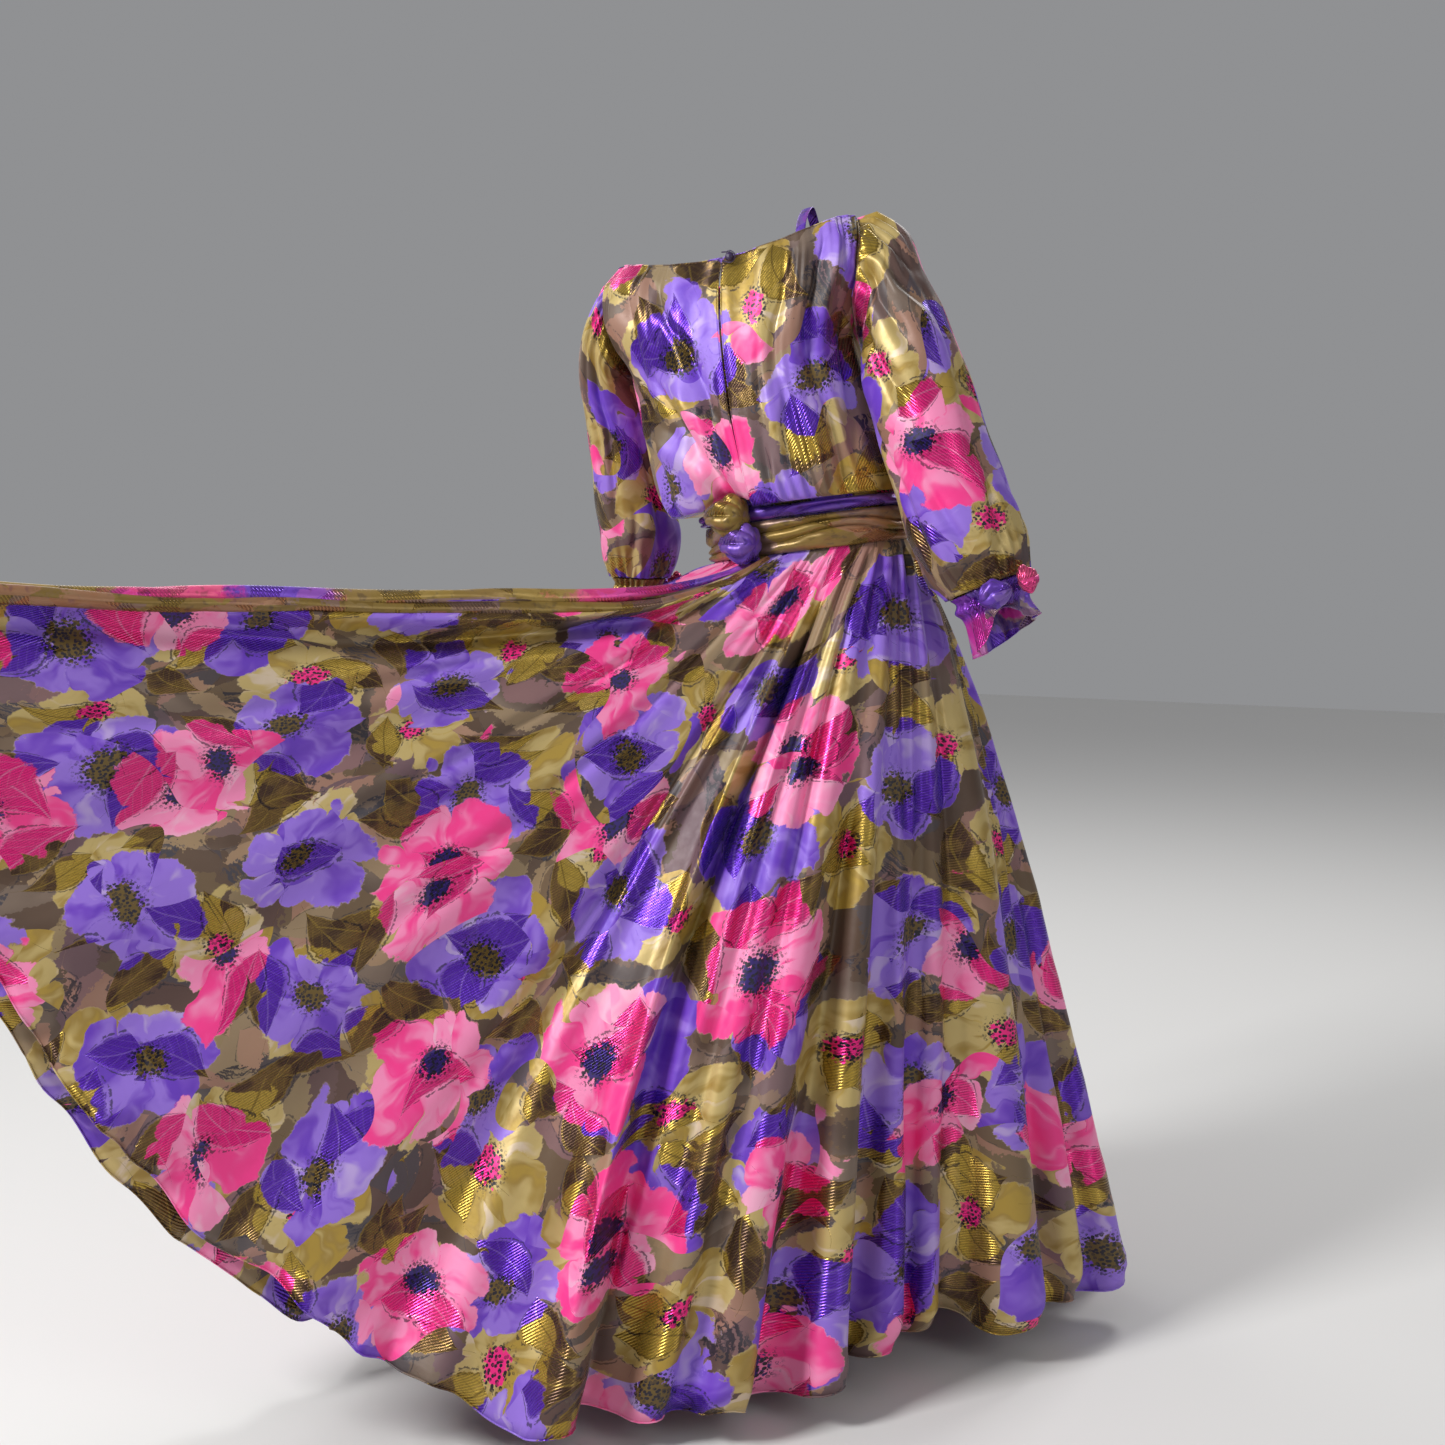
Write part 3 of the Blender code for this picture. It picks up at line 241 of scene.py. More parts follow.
# The cloth's rolled edges along the ridge: how far under it, thick, and standing out
ROLLED_EDGES = table(
    "name below radius stands up lean",
    ("roll_upper", 0.004, 0.0105, 0.004, 0.001, 0.3),
    ("roll_lower", 0.028, 0.009, 0.003, 0.0, 2.1),
)
ROLL_ROWS = 170
ROLL_SIDES = 28

# Where each piece lies on the printed cloth, in metres, chosen so that the colours fall well on it
SKIRT_PRINT = (3.13, 0.71)
BODICE_PRINT = {"back": (9.55, 5.75), "front": (10.15, 5.95)}
SLEEVE_PRINT = {"right": (12.70, 5.25), "left": (6.23, 1.66)}
SASH_PRINT = 2.4
CUFF_PRINT = (4.2, 0.2)
STRAP_PRINT = (5.0, 0.4)

SASH_CLEARANCE = 0.0028
# Name, heights over the waist seam, folds, rows, and height on the print
SASH_BANDS = (
    ("sash_upper", (0.04, 0.027), 1.0, 22, 0.1),
    ("sash_lower", (0.025, -0.014), 3.0, 54, 0.4),
)
SASH_COLUMNS = 181
SASH_FOLD = 0.006
SASH_FLARE = 0.15
SASH_FLARE_START = 0.0125
SASH_KNOT_LOBES = table(
    "name azimuth height out size",
    ("sash_knot_upper", 67.0, 0.035, 0.03, (0.03, 0.022, 0.023)),
    ("sash_knot_lower", 70.0, 0.002, 0.028, (0.027, 0.021, 0.0215)),
)
# How knots are wrapped: seed, turns, folds and taper
SASH_KNOT_WRAP = (4, 1.6, 7, 0.32)
KNOT_ROWS = 49
KNOT_COLUMNS = 96

# Rows down each arm: x, y, z, degrees turned down, and half the girth outwards and forwards
SLEEVE_RIGHT = (
    (-0.159, 0.003, -0.0795, 5.9, 0.0679, 0.056), (-0.1775, 0.005, -0.0925, 19.9, 0.0633, 0.058),
    (-0.19, 0.012, -0.1205, 37.8, 0.0538, 0.06), (-0.205, 0.022, -0.156, 59.5, 0.0551, 0.062),
    (-0.223, 0.03, -0.205, 69.4, 0.0598, 0.064), (-0.243, 0.034, -0.262, 73.0, 0.0605, 0.066),
    (-0.264, 0.034, -0.32, 72.0, 0.0615, 0.067), (-0.2825, 0.034, -0.368, 70.0, 0.0645, 0.067),
    (-0.299, 0.034, -0.407, 67.0, 0.06, 0.06), (-0.312, 0.034, -0.435, 68.0, 0.048, 0.047),
)
SLEEVE_LEFT = (
    (0.165, 0.0, -0.138, 15.0, 0.058, 0.054), (0.176, -0.004, -0.1685, 40.0, 0.0438, 0.06),
    (0.179, -0.012, -0.207, 70.0, 0.0418, 0.056), (0.1725, -0.021, -0.253, 84.0, 0.0415, 0.053),
    (0.169, -0.03, -0.3, 90.0, 0.043, 0.053), (0.165, -0.038, -0.345, 92.0, 0.0465, 0.055),
    (0.16, -0.046, -0.385, 92.0, 0.05, 0.056), (0.163, -0.054, -0.415, 90.0, 0.046, 0.048),
    (0.168, -0.06, -0.438, 88.0, 0.037, 0.038),
)
# Folds of the sleeves: each route's places are degrees round from the top by the back, and rows down the arm
SLEEVE_FOLDS = table(
    "side route width depth",
    (-1, ((60.0, 0.0), (60.0, 1.4), (36.0, 2.6)), 0.006, 0.0065),
    (-1, ((70.0, 0.2), (62.0, 2.1), (34.0, 3.1)), 0.0065, -0.005),
    (-1, ((78.0, 0.3), (90.0, 1.7), (66.0, 3.5)), 0.0075, 0.008),
    (-1, ((44.0, 0.0), (40.0, 1.0), (18.0, 1.9)), 0.006, 0.0055),
    (-1, ((138.0, 1.2), (108.0, 3.6), (84.0, 4.8)), 0.0085, 0.008),
    (-1, ((18.0, 2.4), (18.0, 4.0), (30.0, 5.5)), 0.008, 0.006),
    (-1, ((150.0, 4.6), (132.0, 6.0), (118.0, 8.5)), 0.008, 0.007),
    (-1, ((100.0, 5.6), (84.0, 7.2), (66.0, 8.6)), 0.007, 0.006),
    (-1, ((30.0, 6.2), (42.0, 7.6), (58.0, 8.7)), 0.007, 0.006),
    (-1, ((300.0, 1.0), (280.0, 3.4), (262.0, 5.0)), 0.008, 0.0065),
    (-1, ((330.0, 4.2), (315.0, 6.4), (300.0, 8.2)), 0.008, 0.006),
    (1, ((90.0, 0.0), (93.0, 2.7), (88.0, 5.6)), 0.008, 0.007),
    (1, ((70.0, 0.6), (66.0, 2.4), (74.0, 4.6)), 0.007, 0.0055),
    (1, ((147.0, 2.7), (156.0, 4.9), (141.0, 6.9)), 0.0075, 0.0065),
    (1, ((118.0, 5.2), (104.0, 6.6), (100.0, 7.8)), 0.006, 0.005),
    (1, ((300.0, 1.0), (285.0, 3.4), (270.0, 5.4)), 0.008, 0.006),
    (1, ((250.0, 3.0), (240.0, 5.0), (250.0, 7.2)), 0.0075, 0.006),
)
SLEEVE_AROUND = 0.062
SLEEVE_ROW = 0.055
for fold in SLEEVE_FOLDS:
    fold["route"] = [(math.radians(turn) * SLEEVE_AROUND, row * SLEEVE_ROW) for turn, row in fold["route"]]
SLEEVE_COLUMNS = 144
SLEEVE_LEVELS = 91
SLEEVE_CLEARANCE = 0.0016
SLEEVE_GATHERS = 6
SLEEVE_GATHER_DEPTH = 0.0035
SLEEVE_HEAD_DEPTH = 0.002
SLEEVE_FOOT_DEPTH = 0.0022
SLEEVE_DRAG = 0.0028
CUFF_FALLS = (0.0, 0.008, 0.016, 0.025, 0.040, 0.060)
CUFF_FLARES = (1.02, 0.90, 1.00, 0.86, 0.88, 0.94)
CUFF_COLUMNS = 132
CUFF_ROWS = 49
CUFF_INSET = SLEEVE_CLEARANCE + SLEEVE_GATHER_DEPTH
CUFF_RUFFLES = 6
CUFF_RUFFLE_DEPTH = 0.004
RUCHE_DEPTH = 0.0026
FLOUNCE_WAVE = 0.0012
CUFF_POINT = 0.18
CUFF_NOTCH = 0.46
CUFF_NOTCH_WIDTH = 0.62
KNOT_ANGLE = {"right": 1.25, "left": -1.6}
CUFF_LUMPS = table(
    "name turn fall size wrap",
    ("cuff_knot_", 0.0, 0.014, (0.02, 0.012, 0.013), (2, 1.5, 6)),
    ("cuff_loop_", -0.75, 0.01, (0.014, 0.01, 0.014), (3, 1.5, 6)),
)

BUTTON_RADIUS = 0.0055
BUTTON_ASIDE = -0.0045
BUTTON_STAND = 0.0044
BUTTON_DROP = -0.001
BUTTON_SIDES = 32
LOOP_CORD_RADIUS = 0.0008
LOOP_SLACK = 0.0004
LOOP_SINK = 0.002
LOOP_END = 0.006
STRAP_WIDTH = 0.012
STRAP_ROWS = 90
STRAP_CURL = 0.0008
STRAP_PATH = (
    (-0.096, -0.066, -0.13), (-0.09, -0.044, -0.08), (-0.083, -0.024, -0.03),
    (-0.079, -0.003, 0.002), (-0.081, 0.026, -0.014), (-0.089, 0.054, -0.064),
    (-0.102, 0.074, -0.13),
)

# Linear colours of the print
PALE_PINK = (0.95, 0.27, 0.5)
HOT_PINK = (0.94, 0.06, 0.3)
DEEP_PINK = (0.96, 0.022, 0.25)
VIOLET = (0.175, 0.06, 0.56)
PALE_VIOLET = (0.3, 0.165, 0.7)
DEEP_VIOLET = (0.11, 0.022, 0.5)
DARK_VIOLET = (0.03, 0.012, 0.15)
GOLD = (0.37, 0.24, 0.05)
PALE_GOLD = (0.56, 0.42, 0.16)
BRIGHT_GOLD = (0.5, 0.33, 0.045)
OLIVE = (0.135, 0.082, 0.014)
DUSTY_GOLD = (0.33, 0.235, 0.115)
TAUPE = (0.09, 0.056, 0.04)
PALE_TAUPE = (0.2, 0.142, 0.105)
BROWN = (0.08, 0.04, 0.02)
PEACH = (0.43, 0.22, 0.15)
MAUVE = (0.17, 0.085, 0.12)
SLATE = (0.05, 0.048, 0.066)
BRONZE = (0.19, 0.11, 0.03)
INK = (0.012, 0.009, 0.02)
SASH_GOLD = (0.24, 0.15, 0.028)
SASH_VIOLET = (0.13, 0.04, 0.48)
PETAL_LIGHT = (0.85, 0.72, 0.78)
PLUM = (0.022, 0.008, 0.045)
TONES = ("pale", "mid", "deep", "line", "centre")
FLOWERS = table(
    "cell size seed lattice petals chance shine " + " ".join(TONES),
    (0.158, 0.077, 11.0, 0.45, 5.0, 1.00, 0.35, PALE_GOLD, GOLD, BRIGHT_GOLD, OLIVE, DEEP_PINK),
    (0.186, 0.086, 23.0, 1.15, 5.0, 0.82, 0.10, PALE_VIOLET, VIOLET, DEEP_VIOLET, PALE_VIOLET, OLIVE),
    (0.232, 0.084, 37.0, -0.35, 5.0, 0.80, 0.08, PALE_PINK, HOT_PINK, DEEP_PINK, PALE_PINK, DARK_VIOLET),
)
# Leaf shapes: two woven with metal thread, which deepen whatever colour is printed over them, then a printed
# shade and the dark brush marks
*LAME, SHADE_LEAF, STROKE = table(
    "cell size seed lattice width chance",
    (0.110, 0.050, 5.0, 0.8, 0.46, 0.92),
    (0.118, 0.045, 9.0, -0.6, 0.52, 0.75),
    (0.078, 0.037, 29.0, -1.1, 0.50, 0.85),
    (0.105, 0.034, 17.0, 0.2, 0.55, 0.70),
)
RIBS_PER_METRE = 255.0
FOLD_METAL = 0.5
# Colours along the ridge's rolled edge, in metres from the waist
ROLL_DYES = ((0.0, VIOLET), (0.105, HOT_PINK), (0.23, GOLD), (0.51, VIOLET), (0.62, HOT_PINK), (0.74, GOLD))
DYE_BLUR = 0.012
CUFF_FADE = (0.166, 0.178, 0.4)

FLOOR_SIZE = 14.0
FLOOR_DROP = 0.03
LAMP_AIM = Vector((0.10, 0.10, -0.70))
LAMPS = (
    ("key", (1.7, 2.6, 1.7), 0.9, 122.0),
    ("fill", (-3.2, 1.8, 0.8), 1.4, 16.0),
    ("rim", (-0.5, -2.6, 1.9), 1.0, 40.0),
    ("front", (2.4, -1.8, 0.9), 1.8, 18.0),
)
PHOTO_AZIMUTH = 202.0
PHOTO_PITCH = 7.0
HALF_FRAME = 722.5
FOCAL_PIXELS = 2083.0
CAMERA_PLACE = (-0.923, 2.357, -0.3)


# Curves and grids


def ease(low, high, value):
    """From 0 at low to 1 at high, smooth at both."""
    part = np.clip((np.asarray(value, float) - low) / (high - low), 0.0, 1.0)
    return part * part * (3.0 - 2.0 * part)


def fade(low, high, value):
    return 1.0 - ease(low, high, value)


def bump(at, centre, width):
    return np.exp(-(((np.asarray(at, float) - centre) / width) ** 2))


def swaying(at, pace, sway, sway_pace, shift=0.0):
    """A wave at an even pace whose crests sway to and fro."""
    return np.sin(pace * at + sway * np.sin(sway_pace * at + shift))


def through(knots, values, at):
    """A smooth curve through the values that doesn't overshoot between them."""
    knots = np.asarray(knots, float)
    values = np.asarray(values, float)
    at = np.clip(np.asarray(at, float), knots[0], knots[-1])
    step = np.diff(knots)
    slope = np.diff(values) / step
    tangent = np.zeros(len(knots))
    tangent[[0, -1]] = slope[[0, -1]]
    for i in range(1, len(knots) - 1):
        if slope[i - 1] * slope[i] > 0.0:
            before = 2.0 * step[i] + step[i - 1]
            after = step[i] + 2.0 * step[i - 1]
            tangent[i] = (before + after) / (before / slope[i - 1] + after / slope[i])
    cell = np.clip(np.searchsorted(knots, at, side="right") - 1, 0, len(step) - 1)
    width = step[cell]
    part = (at - knots[cell]) / width
    square = part * part
    cube = square * part
    return (
        (2 * cube - 3 * square + 1) * values[cell]
        + (cube - 2 * square + part) * width * tangent[cell]
        + (3 * square - 2 * cube) * values[cell + 1]
        + (cube - square) * width * tangent[cell + 1]
    )


def refined(rows, count):
    """The table's rows at evenly spaced levels between its own, as one array."""
    at = np.linspace(0.0, len(rows) - 1.0, count)
    return together(*(through(np.arange(len(rows)), column, at) for column in np.array(rows, float).T))


def ripples(u, v, seed, scale):
    """Small even unevenness of cloth: a few crossed waves of lengths near scale, from -1 to 1."""
    dice = np.random.default_rng(seed)
    total = np.zeros(np.broadcast(u, v).shape)
    for _ in range(RIPPLE_WAVES):
        angle = dice.uniform(0.0, ROUND)
        length = scale * dice.uniform(0.6, 1.7)
        shift = dice.uniform(0.0, ROUND)
        total = total + np.sin((u * math.cos(angle) + v * math.sin(angle)) * ROUND / length + shift)
    return total / RIPPLE_WAVES


def creased(u, v, fold):
    """How deep one fold presses places on the cloth in. It fades at both ends of its route."""
    nearest = np.full(np.broadcast(u, v).shape, 1.0)
    along = np.zeros(nearest.shape)
    route = fold["route"]
    for k, (start, end) in enumerate(zip(route[:-1], route[1:])):
        ahead = (end[0] - start[0], end[1] - start[1])
        square = ahead[0] ** 2 + ahead[1] ** 2
        part = np.clip(((u - start[0]) * ahead[0] + (v - start[1]) * ahead[1]) / square, 0.0, 1.0)
        away = np.hypot(u - start[0] - part * ahead[0], v - start[1] - part * ahead[1])
        along = np.where(away < nearest, (k + part) / (len(route) - 1), along)
        nearest = np.minimum(nearest, away)
    ends = 0.35 + 0.65 * ease(0.0, 0.3, along) * fade(0.8, 1.0, along)
    return fold["depth"] * ends * bump(nearest, 0.0, fold["width"] * (0.75 + 0.5 * along))


def posed(points):
    """Gives the upright figure its stance: the waist to the wearer's right, both lines tilted."""
    points = np.array(points, float)
    fall = np.clip(points[..., 2] / WAIST_Z, 0.0, 1.0)
    slope = SHOULDER_SLOPE + (WAIST_SLOPE - SHOULDER_SLOPE) * fall
    points[..., 2] -= slope * points[..., 0]
    points[..., 0] += WAIST_SHIFT * fall ** SHIFT_POWER
    return points


def together(*parts):
    """Arrays of single numbers, as one array of places."""
    return np.stack(np.broadcast_arrays(*parts), axis=-1)


def angles(count):
    """Evenly spaced angles once round, without the end."""
    return np.linspace(0.0, ROUND, count, endpoint=False)


def girths(count, scale):
    """How far round a ring of count columns each place lies on the flat cloth, with the end."""
    return np.linspace(0.0, ROUND, count + 1)[None, :] * scale


def lengths(points):
    """How far along a line, or down each column of a grid, its points lie."""
    steps = np.linalg.norm(np.diff(points, axis=0), axis=-1)
    return np.concatenate([0.0 * steps[:1], steps.cumsum(axis=0)])


def unit(vectors):
    return vectors / (np.linalg.norm(vectors, axis=-1, keepdims=True) + 1e-12)


def hoops(turn, side, up):
    """Round each point of a path: the two directions mixed by an angle."""
    return np.cos(turn)[..., None] * side[:, None] + np.sin(turn)[..., None] * up[:, None]


def grid_mesh(name, points, cut, finish, wraps=False, wall=CLOTH):
    """A cloth shell through a grid of points. cut holds each point's place on the flat cloth, in metres."""
    rows, across = points.shape[:2]
    r, c = np.meshgrid(np.arange(rows - 1), np.arange(across if wraps else across - 1), indexing="ij")
    after = (c + 1) % across
    faces = together(r * across + c, r * across + after, (r + 1) * across + after, (r + 1) * across + c)
    mesh = bpy.data.meshes.new(name)
    mesh.from_pydata(points.reshape(-1, 3).tolist(), [], faces.reshape(-1, 4).tolist())
    layer = mesh.uv_layers.new(name="Cut")
    corners = np.stack([cut[r, c], cut[r, c + 1], cut[r + 1, c + 1], cut[r + 1, c]], axis=-2)
    layer.data.foreach_set("uv", corners.reshape(-1).astype(np.float32))
    mesh.shade_smooth()
    mesh.materials.append(finish)
    piece = bpy.data.objects.new(name, mesh)
    bpy.context.scene.collection.objects.link(piece)
    if wall:
        solid = piece.modifiers.new("wall", "SOLIDIFY")
        solid.thickness = wall
        solid.offset = 0.0
    return piece


def tube(name, path, radius, finish, cut=None):
    """A thin round roll or cord along a path, with the cloth's own places on the cut where it is an edge."""
    ahead = unit(np.gradient(path, axis=0))
    side = unit(np.cross(ahead, TUBE_SIDE))
    points = path[:, None] + radius * hoops(angles(TUBE_SIDES), side, np.cross(ahead, side))
    if cut is None:
        cut = together(lengths(path), 0.0)
    wide = cut[:, None] + together(0.0, girths(TUBE_SIDES, radius))
    return grid_mesh(name, points, wide, finish, wraps=True, wall=0)


def settle(piece, nodes, trims=()):
    """Rides a piece on the part's body, in place of its nodes."""
    for item in (piece, *trims):
        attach(item, "root")
        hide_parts(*nodes)


# Bodice


def bodice_half(rows, side, backward):
    """One half of the back or the front, from the centre line to the side seam and the armhole."""
    height, depth, right_x, left_x, edge_y, edge_z = rows.T[:, :, None]
    edge_x = left_x if side > 0 else right_x
    level = np.linspace(0.0, 1.0, len(rows))[:, None]
    share = BODICE_SHARE[None, :]
    drift = DRIFT_AT_WAIST + (DRIFT_AT_NECK - DRIFT_AT_WAIST) * level
    angle = share * math.pi / 2 + drift * (backward > 0) * side / edge_x * (1.0 - share)
    z = height + (edge_z - height) * ease(0.0, 1.0, share)
    rise = NECK_RISE * np.sin(math.pi * np.clip(share / (2 * NECK_END), 0.0, 1.0)) ** 2
    z = z + ease(0.70, 1.0, level) * rise * fade(NECK_END, 1.0, share)
    # Wide gathers, fine ones at the neck and the waist, soft unevenness, and the drawn folds
    across = BODICE_HALF_WIDTH * share
    seed = 14 + side + 10 * backward
    wide = np.cos(ROUND * BODICE_GATHERS * share) * ease(0.2, 0.35, level)
    wide = wide * (0.35 + 0.65 * np.abs(2.0 * level - 1.0) ** 1.5)
    top = ease(0.66, 0.98, level) * ease(0.12, 0.45, share)
    low = fade(0.30, 0.72, level) * ease(0.24, 0.34, level)
    fine = NECK_PLEAT_DEPTH * top * swaying(share, 15.0 * ROUND, 0.9 * ROUND, 5.0, seed)
    fine = fine + WAIST_PLEAT_DEPTH * low * swaying(share, 11.0 * ROUND, 0.8 * ROUND, 7.0, seed)
    uneven = 0.55 + 0.9 * ripples(across, 0.10 * level, seed + 3, 0.045)
    soft = ripples(0.18 * share, 0.30 * level, seed, 0.075) * ease(0.2, 0.4, level)
    swell = GATHER_DEPTH * wide + uneven * fine + BODICE_SOFT_DEPTH * soft
    for fold in BODICE_FOLDS:
        if (fold["side"], fold["back"]) == (side, backward):
            swell = swell - creased(across, BODICE_HEIGHT * level, fold)
    swell = swell * ease(0.0, 0.06, share) * ease(0.0, 0.06, 1.0 - share)
    if backward > 0 and side > 0:
        near = bump(share, PINCH_SHARE, PINCH_WIDTH) * ease(0.22, 0.30, level) * fade(0.30, 0.62, level)
        swell = swell - PINCH_INWARD * near
        z = z + PINCH_RAISED * near
    x = (edge_x + swell) * np.sin(angle)
    y = edge_y + (depth - edge_y + swell) * np.cos(angle)
    return together(side * x, backward * y, z)


def bodice_cut(points, side, corner):
    """Places on the flat cloth: across from the centre line, and up from the waist."""
    across = lengths(points.swapaxes(0, 1)).T
    return together(corner[0] + side * across, corner[1] + lengths(points).mean(axis=1, keepdims=True))


def bodice(cloth):
    level = np.linspace(0.0, 1.0, BODICE_LEVELS)
    opening = CENTRE_OPENING * ease(0.25, 0.6, level) * (1.0 - 0.6 * ease(0.85, 1.0, level))
    back, front = (
        refined(BODICE_ROWS[:, columns], BODICE_LEVELS) for columns in (BACK_COLUMNS, FRONT_COLUMNS)
    )
    for name, side in (("bodice_back_right", -1), ("bodice_back_left", 1)):
        points = bodice_half(back, side, 1)
        points[..., 0] += side * (SEAM_GAP / 2 + opening[:, None]) * (1.0 - BODICE_SHARE) ** 4
        points = posed(points)
        cut = bodice_cut(points, side, BODICE_PRINT["back"])
        finish_bodice(name, points, cut, cloth, side)
    halves = [posed(bodice_half(front, side, -1)) for side in (-1, 1)]
    cuts = [bodice_cut(half, side, BODICE_PRINT["front"]) for half, side in zip(halves, (-1, 1))]
    points, cut = (np.concatenate([right[:, ::-1], left[:, 1:]], axis=1) for right, left in (halves, cuts))
    finish_bodice("bodice_front", points, cut, cloth)


def finish_bodice(name, points, cut, cloth, side=0):
    """A piece of the bodice with its rolled edges. A back piece has a side, and a roll along the opening."""
    order = side or 1
    shell = grid_mesh("cloth_" + name, points[:, ::order], cut[:, ::order], cloth)
    trims = []
    if side:
        trims.append(tube("edge_" + name, points[OPENING_ROW:, 0], EDGE_ROLL, cloth, cut[OPENING_ROW:, 0]))
    trims.append(tube("neck_" + name, points[-1], HEM_ROLL, cloth, cut[-1]))
    settle(shell, [name], trims)


# Skirt


def heading(degrees):
    return np.array([np.cos(np.radians(degrees)), np.sin(np.radians(degrees))])


def hem_knots():
    """The hem's control points round the skirt: turn, x, y and drop, from the waist's centre."""
    knots = []
    for turn, elevation, length, across in WING_FAR + WING_NEAR:
        tilt = math.radians(abs(elevation))
        place = heading(WING_HEADING) * (WING_ROOT + length * math.cos(tilt)) + WING_ASIDE * across
        knots.append((turn, *place, UNDER_SASH + length * math.sin(tilt)))
    for turn, azimuth, radius, drop in RING_ROWS:
        knots.append((turn, *(heading(azimuth) * radius), drop))
    once_round = [(turn + SKIRT_SWEEP, *rest) for turn, *rest in knots[:2]]
    return np.array(knots + once_round)


WING_ASIDE = heading(WING_HEADING + 90.0)
HEM_KNOTS = hem_knots()


def waist_point(turn):
    angle = np.radians(through(*np.array(WAIST_ROWS).T, turn))
    return np.stack([WAIST_HALF_WIDTH * np.cos(angle), WAIST_HALF_DEPTH * np.sin(angle)])


def skirt_base(turn, fall):
    """The skirt without its flutes: straight threads from the waist seam to the hem."""
    seam = waist_point(np.mod(turn, SKIRT_SWEEP))
    turn = np.where(turn > SKIRT_SWEEP + WING_FAR[0][0], turn - SKIRT_SWEEP, turn)
    hem = np.stack([through(HEM_KNOTS[:, 0], HEM_KNOTS[:, i], turn) for i in (1, 2)])
    drop = through(HEM_KNOTS[:, 0], HEM_KNOTS[:, 3], turn)
    out = np.clip((fall - SKIRT_START) / (1.0 - SKIRT_START), 0.0, 1.0)
    z = -np.where(fall < SKIRT_START, fall * SKIRT_LENGTH, UNDER_SASH + (drop - UNDER_SASH) * out)
    bulge = HIP_BULGE * ease(40.0, 68.0, turn) * fade(196.0, 216.0, turn) * np.sin(math.pi * out ** 0.62)
    return seam + (hem - seam) * out + bulge * hem / np.hypot(*hem), z, out, turn


def hem_lengths():
    """Each turn's degrees round the flat ring, so that the print keeps its scale at the hem."""
    turns = np.linspace(WING_FAR[0][0], SKIRT_SWEEP + WING_FAR[0][0], 1400)
    plan, z, _, _ = skirt_base(turns, 1.0)
    length = lengths(together(*plan, z))
    return turns, turns[0] + SKIRT_SWEEP * length / length[-1]


HEM_TURNS, FLAT_TURNS = hem_lengths()


def fold_middle(fold, out):
    """Round which turn of the skirt a fold lies, from waist to hem."""
    return fold["turn"] + (fold["at_hem"] - fold["turn"]) * out ** 2


